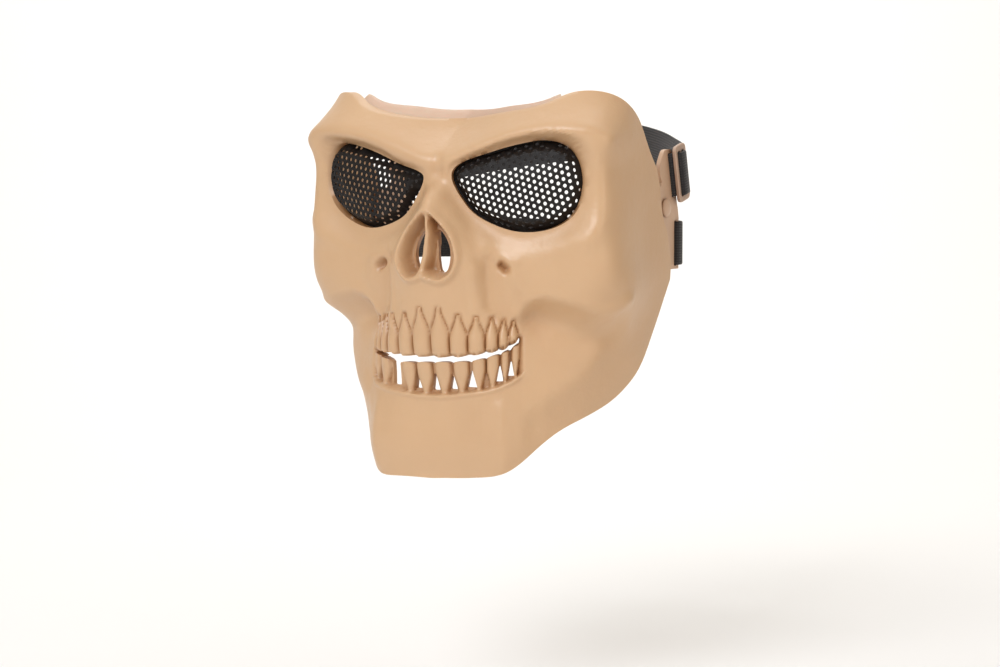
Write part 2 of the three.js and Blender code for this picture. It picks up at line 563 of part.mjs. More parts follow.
// Closed sheet made of flat shapes that share their borders: place(x, y, depth) bends it.
function bentSheet(shapes, thickness, place) {
  const known = new Map();
  const edges = new Map();
  const points = [];
  const triangles = [];
  const cornerAt = (x, y) => {
    const key = `${x.toFixed(3)},${y.toFixed(3)}`;
    if (!known.has(key)) {
      known.set(key, points.length);
      points.push(place(x, y, thickness), place(x, y, 0));
    }
    return known.get(key);
  };
  for (const shape of shapes) {
    const flat = new THREE.ShapeGeometry(shape);
    const spot = flat.attributes.position;
    for (let t = 0; t < flat.index.count; t += 3) {
      const corners = [t, t + 1, t + 2].map((k) => flat.index.getX(k));
      const [a, b, c] = corners.map((k) => cornerAt(spot.getX(k), spot.getY(k)));
      triangles.push([a, b, c], [a + 1, c + 1, b + 1]);
      for (const pair of [[a, b], [b, c], [c, a]]) edges.set(pair.join(), pair);
    }
  }
  for (const [from, to] of edges.values()) {
    if (edges.has([to, from].join())) continue;
    triangles.push([from, from + 1, to + 1], [from, to + 1, to]);
  }
  return fromTriangles(points, triangles);
}

// Perforated eye sheet: a border that lies behind the shell, and a dome with holes that
// rises through the opening.
function eyeMeshGeometry(side) {
  const eye = side > 0 ? EYES.left : EYES.right;
  const centre = eye.reduce((sum, p) => [sum[0] + p[0] / eye.length, sum[1] + p[1] / eye.length], [0, 0]);
  const spread = (by) => eye.map(([angle, at]) => {
    const run = [(angle - centre[0]) * ARC, (at - centre[1]) * FACE_HEIGHT];
    const grow = 1 + by / Math.hypot(...run);
    return new THREE.Vector2(centre[0] + run[0] * grow / ARC, centre[1] * FACE_HEIGHT + run[1] * grow);
  }).reverse();
  const border = new THREE.Shape(spread(MESH_FLANGE));
  border.holes = [new THREE.Path(spread(-MESH_INSET))];
  const dome = new THREE.Shape(spread(-MESH_INSET));
  const rowStep = MESH_PITCH * Math.sqrt(3) / 2;
  for (let row = -4; row <= 4; row += 1) {
    for (let k = -6; k <= 6; k += 1) {
      const angle = 29 + (row * rowStep) / ARC;
      const z = -.028 * FACE_HEIGHT + (k + (row % 2 ? 0.5 : 0)) * MESH_PITCH;
      if (outlineDistance(eye, angle, z) > -MESH_HOLE / 2 - 2.4) continue;
      const corners = Array.from({ length: 6 }, (_, corner) => new THREE.Vector2(
        angle + MESH_HOLE / 2 * Math.cos(corner * Math.PI / 3) / ARC,
        z + MESH_HOLE / 2 * Math.sin(corner * Math.PI / 3)));
      dome.holes.push(new THREE.Path(corners));
    }
  }
  const seat = THICKEST * WALL + FIT + MESH_THICKNESS;
  const geometry = bentSheet([border, dome], MESH_THICKNESS, (angle, z, depth) => {
    const inside = -outlineDistance(eye, angle, z) - MESH_INSET;
    const rise = (seat + 0.5 * MESH_DOME) * ease(0.2, 6.5, inside) + 0.5 * MESH_DOME * ease(4, 20, inside);
    const level = Math.min(eyePlane(angle), face(side * angle, z)) - seat;
    return polar(angle, level + rise + depth, z);
  });
  return side > 0 ? geometry : turnedInsideOut(geometry.scale(-1, 1, 1));
}

function turnedInsideOut(geometry) {
  const bare = geometry.index ? geometry.toNonIndexed() : geometry;
  const place = bare.attributes.position;
  for (let i = 0; i < place.count; i += 3) {
    const [x, y, z] = [place.getX(i), place.getY(i), place.getZ(i)];
    place.setXYZ(i, place.getX(i + 1), place.getY(i + 1), place.getZ(i + 1));
    place.setXYZ(i + 1, x, y, z);
  }
  return bare;
}

// Soft strip that follows the inside of the brow edge and stands a little above it, less so
// on the wearer's left.
function browPadGeometry() {
  const count = 23;
  const rises = [-PAD_TUCK, -PAD_TUCK / 2, 0, PAD_RISE];
  const point = (i, j, depth) => {
    const angle = PAD_ANGLE * (2 * i / (count - 1) - 1);
    const edge = topEdge(angle);
    const lower = rises[j] > 0 ? 1 - 0.4 * ease(0, 25, angle) : 1;
    const rise = rises[j] * lower * (i === 0 || i === count - 1 ? 0.7 : 1);
    const climb = (face(angle, edge) - face(angle, edge - 5)) / 5;
    const level = rise < 0 ? face(angle, edge + rise) : face(angle, edge) + climb * rise;
    const run = WALL * Math.max(wallRun(angle, edge), wallRun(angle, edge + Math.min(rise, 0)));
    const slant = Math.hypot(1, climb);
    return polar(angle, level - run - (PAD_GAP + depth) * slant, edge + rise);
  };
  const all = (length) => Array.from({ length }, (_, k) => k);
  return sheetSolid(count, rises.length, (i, j) => point(i, j, 0),
    (i, j) => point(i, j, PAD_THICKNESS), all(count), all(rises.length));
}

// Flat piece standing in a side plane: loop and holes as [back, up], sideways depth.
function sidePlate(loop, holes, from, thickness) {
  const shape = new THREE.Shape(loop.map(([back, up]) => new THREE.Vector2(back, up)));
  shape.holes = holes.map((hole) => new THREE.Path(hole.map(([back, up]) => new THREE.Vector2(back, up))));
  const geometry = new THREE.ExtrudeGeometry(shape, { depth: thickness, bevelEnabled: false, steps: 1 });
  const turn = new THREE.Matrix4().makeBasis(
    new THREE.Vector3(0, 1, 0), new THREE.Vector3(0, 0, 1), new THREE.Vector3(1, 0, 0));
  turn.setPosition(PLATE_SEAT + from, 0, 0);
  return geometry.applyMatrix4(turn);
}

// Point in the frame of a strap: u along it, v across it, both in the plate's plane.
function strapPoint({ slot, slope }, u, v) {
  const turn = slope * DEG;
  return [
    slot[0] + u * Math.cos(turn) - v * Math.sin(turn),
    slot[1] * FACE_HEIGHT + u * Math.sin(turn) + v * Math.cos(turn),
  ];
}

function strapRectangle(strap, u0, u1, half) {
  return [[u0, -half], [u1, -half], [u1, half], [u0, half]].map(([u, v]) => strapPoint(strap, u, v));
}

function plateGeometry() {
  const slots = [UPPER_STRAP, LOWER_STRAP].map(
    (strap) => strapRectangle(strap, -SLOT_WIDTH / 2, SLOT_WIDTH / 2, STRAP_WIDTH / 2 + 0.5));
  const loop = PLATE_OUTLINE.map(([back, at]) => [back, at * FACE_HEIGHT]);
  const hole = Array.from({ length: 12 }, (_, k) => {
    const turn = k * Math.PI / 6;
    const radius = STUD_PIN + FIT;
    return [STUD_PLACE[0] + radius * Math.cos(turn), STUD_PLACE[1] * FACE_HEIGHT + radius * Math.sin(turn)];
  });
  return sidePlate(loop, [...slots, hole], 0, PLATE_THICKNESS);
}

// Stud: low domed head outside the plate, shank through it and a flat foot inside.
function studGeometry() {
  const head = PLATE_THICKNESS + FIT;
  const profile = [
    [0, -FIT - 1], [STUD_PIN + 1, -FIT - 1], [STUD_PIN + 1, -FIT], [STUD_PIN, -FIT], [STUD_PIN, head],
    [STUD_RADIUS, head], [STUD_RADIUS, head + 0.35 * STUD_HEIGHT],
    [0.72 * STUD_RADIUS, head + 0.85 * STUD_HEIGHT], [0, head + STUD_HEIGHT],
  ].map(([radius, out]) => new THREE.Vector2(radius, out));
  const geometry = new THREE.LatheGeometry(profile, 14);
  geometry.rotateZ(-Math.PI / 2);
  geometry.translate(PLATE_SEAT, STUD_PLACE[0], STUD_PLACE[1] * FACE_HEIGHT);
  return geometry;
}

// Three-bar slider over the upper slot, with one layer of webbing between it and the plate.
const SLIDER_FRONT = -SLIDER_LEAD;
const SLIDER_LENGTH = 3 * SLIDER_BAR + 2 * SLIDER_WINDOW;
function sliderGeometry() {
  const half = SLIDER_HEIGHT / 2;
  const end = SLIDER_FRONT + SLIDER_LENGTH;
  const corner = 3;
  const loop = [
    [SLIDER_FRONT + corner, -half], [end - corner, -half], [end - 0.9, 0.9 - half], [end, corner - half],
    [end, half - corner], [end - 0.9, half - 0.9], [end - corner, half], [SLIDER_FRONT + corner, half],
    [SLIDER_FRONT + 0.9, half - 0.9], [SLIDER_FRONT, half - corner], [SLIDER_FRONT, corner - half],
    [SLIDER_FRONT + 0.9, 0.9 - half],
  ].map(([u, v]) => strapPoint(UPPER_STRAP, u, v));
  const windows = [0, 1].map((k) => {
    const from = SLIDER_FRONT + SLIDER_BAR + k * (SLIDER_BAR + SLIDER_WINDOW);
    return strapRectangle(UPPER_STRAP, from, from + SLIDER_WINDOW, STRAP_WIDTH / 2 + 0.5);
  });
  return sidePlate(loop, windows, PLATE_THICKNESS + 2 * FIT + STRAP_THICKNESS, SLIDER_THICKNESS);
}

// Band of webbing through stations of place and cross direction.
function ribbon(stations) {
  const points = [];
  const triangles = [];
  const last = stations.length - 1;
  stations.forEach(({ place, across }, k) => {
    const before = place.clone().sub(stations[Math.max(k - 1, 0)].place).cross(across).normalize();
    const after = stations[Math.min(k + 1, last)].place.clone().sub(place).cross(across).normalize();
    if (k === 0) before.copy(after);
    if (k === last) after.copy(before);
    const out = before.clone().add(after).normalize();
    out.multiplyScalar(STRAP_THICKNESS / 2 / Math.max(out.dot(before), 0.6));
    const wide = across.clone().multiplyScalar(STRAP_WIDTH / 2);
    points.push(place.clone().add(out).add(wide), place.clone().sub(out).add(wide));
    points.push(place.clone().sub(out).sub(wide), place.clone().add(out).sub(wide));
    if (k === last) return;
    for (let c = 0; c < 4; c += 1) {
      const [a, b] = [4 * k + c, 4 * k + (c + 1) % 4];
      triangles.push([a, a + 4, b + 4], [a, b + 4, b]);
    }
  });
  triangles.push([0, 1, 2], [0, 2, 3]);
  triangles.push([4 * last, 4 * last + 2, 4 * last + 1], [4 * last, 4 * last + 3, 4 * last + 2]);
  return fromTriangles(points, triangles);
}

const MIRROR = new THREE.Vector3(-1, 1, 1);

// Whole strap: each end is folded through its slot, the rest runs back round the head.
function strapGeometry(strap) {
  const turn = strap.slope * DEG;
  const across = new THREE.Vector3(0, -Math.sin(turn), Math.cos(turn));
  const half = STRAP_THICKNESS / 2;
  const folded = (u, out) => {
    const [back, up] = strapPoint(strap, u, 0);
    return { place: new THREE.Vector3(PLATE_SEAT + out, back, up), across };
  };
  const inside = -FIT - half;
  const ends = [folded(TAIL_LENGTH, inside - 0.8), folded(4, inside), folded(0.3, inside)];
  const outside = PLATE_THICKNESS + FIT + half;
  ends.push(folded(0, inside + 0.5), folded(0, outside - 0.5), folded(0.3, outside));
  if (strap.slider) {
    const above = outside + half + FIT + SLIDER_THICKNESS + FIT + half;
    const first = SLIDER_FRONT + SLIDER_BAR + SLIDER_WINDOW / 2;
    const second = first + SLIDER_BAR + SLIDER_WINDOW;
    ends.push(folded(first - 0.3, outside), folded(first, outside + 0.5), folded(first, above - 0.5));
    ends.push(folded(first + 0.3, above), folded(second - 0.3, above), folded(second, above - 0.5));
    ends.push(folded(second, outside + 0.5), folded(second + 0.3, outside));
    ends.push(folded(SLIDER_FRONT + SLIDER_LENGTH + 0.8, outside));
  } else {
    ends.push(folded(5, outside));
  }
  const knots = [...strap.run, strap.rear].map(
    ([side, back, at]) => new THREE.Vector3(side * FACE_REACH, back, at * FACE_HEIGHT));
  const rear = knots[knots.length - 1];
  const curve = new THREE.CatmullRomCurve3(
    [ends[ends.length - 1].place, ...knots, knots[knots.length - 2].clone().multiply(MIRROR)]);
  const steps = 18;
  const cut = knots.length / (knots.length + 1);
  const run = [];
  for (let k = 1; k < steps; k += 1) {
    const along = curve.getTangent(cut * k / steps);
    const upright = new THREE.Vector3(0, 0, 1).addScaledVector(along, -along.z).normalize();
    run.push({ place: curve.getPoint(cut * k / steps), across: upright });
  }
  const left = [...ends, ...run];
  const right = left.map(({ place, across: wide }) => ({
    place: place.clone().multiply(MIRROR),
    across: wide.clone().multiply(MIRROR),
  }));
  const middle = { place: rear, across: new THREE.Vector3(0, 0, 1) };
  return ribbon([...left, middle, ...right.reverse()]);
}

const plastic = () => new THREE.MeshStandardMaterial({ color: '#d9b48f', roughness: 0.55, metalness: 0 });
const paintedSteel = () => new THREE.MeshStandardMaterial({
  color: '#2a2422', roughness: 0.45, metalness: 0.4,
});
const softVinyl = () => new THREE.MeshStandardMaterial({ color: '#d9b9a6', roughness: 0.35, metalness: 0 });
const webbing = () => new THREE.MeshStandardMaterial({ color: '#262325', roughness: 0.9, metalness: 0 });

const mask = new THREE.Group();
function addPiece(name, geometry, material) {
  const mesh = new THREE.Mesh(geometry, material);
  mesh.name = name;
  mask.add(mesh);
}
function addPair(name, geometry, material) {
  addPiece(`${name}_left`, geometry, material);
  const other = geometry.clone().scale(-1, 1, 1);
  addPiece(`${name}_right`, turnedInsideOut(other), material);
}

addPiece('mask_shell', shellGeometry(), plastic());
addPiece('eye_mesh_left', eyeMeshGeometry(1), paintedSteel());
addPiece('eye_mesh_right', eyeMeshGeometry(-1), paintedSteel());
addPiece('brow_pad', browPadGeometry(), softVinyl());
addPair('strap_plate', plateGeometry(), plastic());
addPair('plate_stud', studGeometry(), plastic());
addPair('slider', sliderGeometry(), plastic());
addPiece('strap_upper', strapGeometry(UPPER_STRAP), webbing());
addPiece('strap_lower', strapGeometry(LOWER_STRAP), webbing());

export default mask;
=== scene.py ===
import math

import bpy
import numpy as np
from mathutils import Matrix, Vector
from mathutils.geometry import delaunay_2d_cdt


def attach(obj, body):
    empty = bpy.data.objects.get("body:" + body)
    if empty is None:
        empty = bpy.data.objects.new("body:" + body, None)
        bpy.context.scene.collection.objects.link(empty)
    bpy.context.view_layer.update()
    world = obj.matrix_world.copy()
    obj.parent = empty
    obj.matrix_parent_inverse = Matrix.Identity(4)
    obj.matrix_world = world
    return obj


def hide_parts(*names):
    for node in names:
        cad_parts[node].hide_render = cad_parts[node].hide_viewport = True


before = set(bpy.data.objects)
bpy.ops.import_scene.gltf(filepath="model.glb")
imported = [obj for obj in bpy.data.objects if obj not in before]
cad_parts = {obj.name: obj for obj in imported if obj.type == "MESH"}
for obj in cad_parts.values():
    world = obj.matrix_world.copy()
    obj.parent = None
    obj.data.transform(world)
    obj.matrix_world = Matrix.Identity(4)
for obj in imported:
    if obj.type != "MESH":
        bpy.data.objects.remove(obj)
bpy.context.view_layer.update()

# Shell. One injection moulding in tan thermoplastic, with a wall of about 2.6 mm: brow,
# eye sockets, open nose, cheek arches, bared teeth and chin are all formed in it. The
# eye covers, the brow strip and the side plates are fixed inside it.
REACH = 100.0  # unit of the sections' distances from the head axis, in mm
HEIGHT = 217.0  # unit of the sections' and the edges' heights, in mm
WALL = 2.6
WALL_STRETCH = 1.45  # most that a slope lengthens the wall, measured towards the axis
ARC = math.radians(0.96 * REACH)  # mm along the face to one degree round the head
REAR_ANGLE = 101.5
EYE_PLANE = 86.5  # distance at which an eye opening's plane meets the middle plane, in mm
EYE_SLOPE = 0.22  # how far that plane falls back to each mm sideways
EYE_MIDDLE = (29, -6)
SOCKET_WIDE = 9.5  # width of the slope down to the plane, at the side and below
SOCKET_NARROW = 3.8  # and above the eye
NOSE_RIM = 2.2
NOSE_DEPTH = 9.5
MOUTH_ANGLE = 31.5

# Angles run round the head from the nose, in degrees, and are positive on the wearer's
# left. Heights are over eye level: in mm, but in the sections and edges shares of HEIGHT.
SECTION_ANGLES = np.array([0, 6, 12, 20, 28, 38, 48, 55, 63, 76, 92, 110.0])
SECTIONS = {
    0.240: [.500, .508, .522, .552, .604, .702, .846, .923, .948, .907, .881, .930],
    0.166: [.610, .620, .637, .680, .742, .850, .970, 1.027, 1.036, .959, .911, .949],
    0.083: [.830, .838, .853, .885, .928, 1.008, 1.110, 1.150, 1.090, .982, .942, .968],
    0.009: [.860, .857, .855, .864, .890, .965, 1.078, 1.125, 1.070, .981, .942, .968],
    -0.060: [1.010, .898, .868, .859, .876, .950, 1.076, 1.129, 1.081, .981, .942, .968],
    -0.124: [1.010, .975, .912, .879, .881, .960, 1.086, 1.140, 1.088, .982, .942, .968],
    -0.207: [1.000, 1.006, .987, .922, .914, .977, 1.087, 1.150, 1.104, .987, .942, .968],
    -0.290: [.985, .981, .964, .922, .902, .967, 1.066, 1.125, 1.104, .992, .932, .968],
    -0.369: [.955, .954, .947, .924, .888, .889, .969, 1.022, 1.028, .945, .912, .934],
    -0.452: [.930, .932, .933, .926, .903, .880, .905, .926, .920, .897, .884, .902],
    -0.535: [.895, .898, .907, .915, .908, .898, .895, .888, .878, .857, .862, .873],
    -0.622: [.880, .884, .898, .927, .930, .888, .859, .849, .828, .815, .823, .843],
    -0.700: [.885, .889, .903, .933, .938, .877, .835, .808, .785, .768, .782, .804],
    -0.774: [.860, .864, .878, .905, .902, .826, .777, .751, .732, .718, .732, .755],
}
TOP_REAR = [
    (58, .209), (66, .188), (71, .162), (76, .125), (80, .080), (86, .028), (89, .002), (91, -.039),
    (93.2, -.104), (97, -.146), (99.5, -.190), (101.5, -.235),
]
TOP_EDGE_RIGHT = [(0, .142), (16, .143), (30, .155), (42, .180), (51, .209)] + TOP_REAR
TOP_EDGE_LEFT = [(0, .142), (16, .149), (30, .162), (42, .182), (51, .208)] + TOP_REAR
CHIN_REAR = [(71, -.582), (79, -.545), (84, -.511), (91, -.427), (96, -.350), (101.5, -.280)]
CHIN_EDGE_RIGHT = [
    (0, -.779), (18, -.779), (26, -.776), (31, -.758), (37, -.715), (46, -.662), (58, -.622),
] + CHIN_REAR
CHIN_EDGE_LEFT = [
    (0, -.776), (18, -.768), (26, -.756), (31, -.735), (37, -.700), (46, -.656), (58, -.620),
] + CHIN_REAR
BROW_LIFT = [(0, -.041), (12, -.023), (28, .007), (45, .023), (58, .014), (75, .005), (110, 0)]
# Ridges (+) and hollows (-) in the face: height and width in mm, then the path.
FOLDS = {
    "brow ridge": (2.2, 5.0, [
        (1, 7.5), (8, 10), (16, 15), (28, 21.5), (40, 25), (50, 25), (55.5, 20)]),
    "outer eye rim": (1.6, 5.5, [(54, 14), (53.5, -4), (53, -24), (50, -36)]),
    "frown line": (-1.2, 2.4, [(1.2, 2), (1.2, 9)]),
    "below the eye": (1.0, 6.0, [(22, -37), (32, -41), (44, -38), (52, -28)]),
    "canine hollow": (-2.3, 5.2, [(22, -45), (22.2, -55), (22.6, -65), (24, -77)]),
    "canine step": (-1.4, 3.2, [(19.6, -47), (19.8, -60), (20.6, -72)]),
    "canine edge": (.9, 2.8, [(15.4, -50), (15.8, -60), (16.2, -70), (17, -82)]),
    "cheek hole": (-4.6, 2.1, [(25, -49.6), (26.6, -51.8)]),
    "cheek hole lip": (.9, 3.8, [(27.6, -49), (30, -54), (31, -62)]),
    "cheek hole brow": (.8, 2.8, [(20, -44), (25, -45), (30, -47.5)]),
    "cheek arch": (2.3, 4.4, [
        (31, -76), (34, -69), (39, -66), (48, -70), (54.5, -75), (60, -75), (66, -69)]),
    "cheek hollow": (-5.0, 9.5, [(38, -79), (45, -82), (54, -88), (62, -88)]),
    "jaw crest": (1.6, 8.0, [(62, -96), (55, -110), (42, -121), (36, -128)]),
    "chin corner": (1.0, 4.5, [(25.5, -128), (26, -160)]),
    "chin crease": (-1.0, 6.0, [(33, -116), (36, -128), (36, -140)]),
    "nose flank": (-1.6, 5.0, [(9, -14), (14, -30), (17, -45)]),
}
EYE_LEFT_OUTLINE = [
    (5.6, -1.1), (9, 6.1), (20.2, 11.9), (31.4, 16.7), (39.5, 18.7), (45.9, 16.3), (49.4, 7.8),
    (50.3, -7.6), (47.4, -22.6), (40.1, -30.2), (29, -30.8), (16, -23), (9.3, -12.6),
]
EYE_RIGHT_OUTLINE = [
    (6.4, -2.2), (9.5, 1.7), (19.1, 5.6), (29.5, 11.3), (38.5, 15.4), (45.7, 16.7), (49.2, 10.4),
    (50.3, -4.3), (47.6, -18.9), (40.2, -28.2), (30.6, -30.6), (17, -23.9), (9.6, -11.9),
]
NOSE_OUTLINE = [
    (0, -20.6), (4.6, -26.5), (8.1, -33.9), (9.8, -41), (10.1, -47.5), (8.6, -53.4), (5.4, -56.8),
    (1.6, -56), (-1.4, -54.4), (-4.2, -56.2), (-6.8, -56.4), (-8.8, -53), (-10.1, -47.5), (-9.8, -41),
    (-8.1, -33.9), (-4.6, -26.5),
]
NOSTRIL_OUTLINE = [
    (2.2, -30.4), (4.5, -33), (6.6, -39.5), (6.9, -46), (5.7, -52.5), (3.4, -53.8), (2.6, -47.3),
    (2.4, -38.2),
]
SEPTUM = [(0, -20), (.5, -33), (-.3, -44), (-2.6, -57)]
# Sides of the upper teeth from the middle outwards, and the heights of their roots.
UPPER_EDGES = [0, 7.2, 13.7, 19.6, 24, 27.6, 31]
UPPER_ROOTS = [-73.5, -77, -78, -78.5, -79.5, -80.5]
# Height of the upper teeth's tips, and how far the lower teeth's tips are below them.
BITE_LINE = [
    (-33, -99.5), (-28, -99.6), (-20, -100), (-9, -100.6), (0, -100.6), (9, -100.2), (16, -98.8),
    (22, -97.2), (26, -95.8), (29, -93.2), (33, -89),
]
BITE_OPENING = [
    (-33, 1.2), (-28, 2.6), (9, 2.6), (16, 2.8), (22, 2.0), (26, 1.2), (29, 1.6), (33, 1.0),
]
# Middle and half width of each lower tooth, both in degrees.
LOWER_TEETH = [
    (-30.2, 2.6), (-24.2, 3.3), (-11.2, 3), (-4.4, 3.3), (3.4, 3.3), (10.5, 3), (17, 2.5), (22, 2.3),
    (26.3, 1.5), (30, 1.5),
]
GUM_LEDGE = [
    (-34, -114.4), (-30.6, -116.3), (-22, -119.4), (-12, -121.7), (0, -122.4), (12, -120.4),
    (22.6, -117.2), (29.5, -112.4), (34, -108.1),
]
# Gaps between lower teeth: angle, top, foot, half width at the foot, share of it at the top.
TOOTH_GAPS = [
    (-18.3, -99, -118, 2.1, 1.0), (-7.9, -108.5, -119.1, 1.9, .15), (-.6, -110, -119.6, 1.7, .15),
    (6.9, -110.9, -118.7, 1.6, .15), (14.5, -107.4, -117.2, 2.1, .15),
    (24.4, -104.8, -113.7, 1.3, .15), (28.5, -102.4, -110.7, 1.1, .15),
]


def spline(knots, values, at):
    """Natural cubic spline: third-order polynomials between knots, equal in slope and bend
    where they meet and straight at both ends. values may hold one column per point of at."""
    knots, at = np.asarray(knots, float), np.asarray(at, float)
    values = np.asarray(values, float).reshape(len(knots), -1)
    step = np.diff(knots)
    lines = np.zeros((len(knots), len(knots)))
    lines[0, 0] = lines[-1, -1] = 1
    inner = np.arange(1, len(knots) - 1)
    lines[inner, inner - 1] = step[:-1]
    lines[inner, inner] = 2 * (step[:-1] + step[1:])
    lines[inner, inner + 1] = step[1:]
    slope = (values[1:] - values[:-1]) / step[:, None]
    load = np.zeros(values.shape)
    load[1:-1] = 6 * (slope[1:] - slope[:-1])
    bend = np.linalg.solve(lines, load)
    flat = np.clip(at.ravel(), knots[0], knots[-1])
    k = np.clip(np.searchsorted(knots, flat) - 1, 0, len(knots) - 2)
    width = knots[k + 1] - knots[k]
    a = (knots[k + 1] - flat) / width
    b = 1 - a
    column = np.arange(len(flat)) if values.shape[1] > 1 else 0
    curve = a * values[k, column] + b * values[k + 1, column]
    sag = (a**3 - a) * bend[k, column] + (b**3 - b) * bend[k + 1, column]
    return (curve + sag * width**2 / 6).reshape(at.shape)


def along(table, at):
    """Spline through a table of (angle, value) rows."""
    rows = np.asarray(table, float)
    return spline(rows[:, 0], rows[:, 1], at)


def both_sides(table, at):
    """Spline through a table that starts at the middle plane, read at |angle|."""
    rows = [(-table[1][0], table[1][1])] + list(table)
    return along(rows, np.abs(at))


def ease(start, end, at):
    """Smooth step: 3 t squared less 2 t cubed, with t running from 0 at start to 1 at end."""
    t = np.clip((at - start) / (end - start), 0, 1)
    return t * t * (3 - 2 * t)


def free_edge(right, left, angle):
    """Height of a free edge in mm: one side's spline eased into the other's at the middle."""
    low, high = both_sides(right, angle), both_sides(left, angle)
    return HEIGHT * (low + (high - low) * ease(-4, 4, angle))


def rounded(points, per=5):
    """Closed Catmull-Rom curve: each stretch is the cubic whose slope at a point is half the
    chord between that point's neighbours."""
    p1 = np.asarray(points, float)[:, None, :]
    p0, p2, p3 = np.roll(p1, 1, 0), np.roll(p1, -1, 0), np.roll(p1, -2, 0)
    t = np.linspace(0, 1, per, endpoint=False)[None, :, None]
    curve = 2 * p1 + (p2 - p0) * t + (2 * p0 - 5 * p1 + 4 * p2 - p3) * t**2
    return (0.5 * (curve + (3 * p1 - p0 - 3 * p2 + p3) * t**3)).reshape(-1, 2)


def path_distance(path, x, y):
    """Shortest distance to a broken line, and the share of it passed at the nearest point."""
    path = np.asarray(path, float)
    best = np.full(np.shape(x), 1e9)
    share = np.zeros(np.shape(x))
    for k in range(len(path) - 1):
        (ax, ay), (ex, ey) = path[k], path[k + 1] - path[k]
        t = np.clip(((x - ax) * ex + (y - ay) * ey) / (ex * ex + ey * ey), 0, 1)
        reach = np.hypot(x - ax - t * ex, y - ay - t * ey)
        share = np.where(reach < best, (k + t) / (len(path) - 1), share)
        best = np.minimum(best, reach)
    return best, share


def loop_distance(loop, x, y):
    """Distance to a closed outline, negative inside it: a point is inside when a line drawn
    sideways from it crosses the outline an odd number of times."""
    closed = np.vstack([loop, loop[:1]])
    inside = np.zeros(np.shape(x), bool)
    for (ax, ay), (bx, by) in zip(closed[:-1], closed[1:]):
        if ay != by:
            inside ^= ((ay > y) != (by > y)) & (x < (bx - ax) * (y - ay) / (by - ay) + ax)
    distance = path_distance(closed, x, y)[0]
    return np.where(inside, -distance, distance)


def on_face(points):
    """Table points of (degrees, mm) turned to mm along the face."""
    return np.asarray(points, float) * [ARC, 1]


EYE_LEFT = on_face(rounded(EYE_LEFT_OUTLINE))
EYE_RIGHT = on_face(rounded(EYE_RIGHT_OUTLINE))
NOSE = on_face(rounded(NOSE_OUTLINE))
NOSTRIL = on_face(rounded(NOSTRIL_OUTLINE))
SECTION_HEIGHTS = np.array(sorted(SECTIONS)) * HEIGHT
SECTION_TABLE = np.array([SECTIONS[key] for key in sorted(SECTIONS)]) * REACH


def bare_face(angle, z):
    """Distance from the head axis: a spline up the height through each angle's column of the
    section table, then a spline round the head through those values."""
    columns = np.stack([spline(SECTION_HEIGHTS, SECTION_TABLE[:, k], z) for k in range(12)])
    knots = np.concatenate([[-SECTION_ANGLES[1]], SECTION_ANGLES])
    return spline(knots, np.vstack([columns[1:2], columns]), angle)


def eye_plane(angle):
    """Flat plane of the eye opening, as a distance from the head axis."""
    turn = np.radians(angle)
    return EYE_PLANE / (np.cos(turn) + EYE_SLOPE * np.sin(turn))


def no_crease(angle, half):
    """|angle| rounded off at the middle plane: the root of angle squared plus half squared,
    with the second term dying away as a bell curve three halves wide."""
    return np.sqrt(angle**2 + half**2 * np.exp(-((angle / (3 * half)) ** 2)))


def upper_teeth(angle, z):
    """Each tooth is a pointed arch from root to tip with a half-round crown, in a groove."""
    level = np.zeros(angle.shape)
    for side in (1, -1):
        for k, root in enumerate(UPPER_ROOTS):
            middle = side * (UPPER_EDGES[k] + UPPER_EDGES[k + 1]) / 2
            half = (UPPER_EDGES[k + 1] - UPPER_EDGES[k]) / 2 * ARC
            tip = along(BITE_LINE, np.array([middle]))[0] - 0.2
            up = (z - tip) / (root - tip)
            blunt = np.sqrt(np.clip(1 - ((0.12 - up) / 0.17) ** 2, 0.02, 1))
            reach = 0.99 * half * np.where(up < 0.12, blunt, 1) * (1 - 0.82 * ease(0.42, 1.0, up))
            across = np.abs(angle - middle) * ARC
            crown = np.clip(1 - (across / np.maximum(reach, 0.1)) ** 2, 0, 1) ** 0.55
            height = 3.2 - 1.5 * ease(0.3, 1, up) + 0.3 * np.sin(np.pi * np.clip(up / 0.5, 0, 1))
            over = np.where(up > 1, (up - 1) * (root - tip), 0)
            beyond = np.hypot(np.maximum(across - reach, 0), over)
            groove = -1.2 * np.exp(-((beyond / 1.2) ** 2)) * (up > -0.05)
            inside = (across < reach) & (up > -0.02) & (up < 1)
            outside = np.where(level > 0, level, np.minimum(level, groove))
            level = np.where(inside, -1.2 + crown * height, outside)
    return level


def lower_teeth(angle, z):
    """A band 4 mm deep between the bite and the chin ledge, with tapering teeth standing in it."""
    top = along(BITE_LINE, angle) - along(BITE_OPENING, angle)
    ledge = along(GUM_LEDGE, angle)
    band = ease(0, 1.6, z - ledge) * (1 - ease(1, 5, z - top))
    tooth = np.zeros(angle.shape)
    for middle, half in LOWER_TEETH:
        down = np.clip((top - z) / (top - ledge), -0.1, 1)
        blunt = np.sqrt(np.clip(1 - ((0.10 - down) / 0.16) ** 2, 0.05, 1))
        reach = half * ARC * np.where(down < 0.10, blunt, 1) * (1 - 0.52 * ease(0.3, 0.95, down))
        crown = np.sqrt(np.clip(1 - ((angle - middle) * ARC / reach) ** 2, 0, 1))
        tooth = np.maximum(tooth, crown**0.7 * (3.4 - 0.6 * down))
    return (tooth - 4.0) * band + 0.9 * np.exp(-(((z - ledge + 0.8) / 1.3) ** 2))


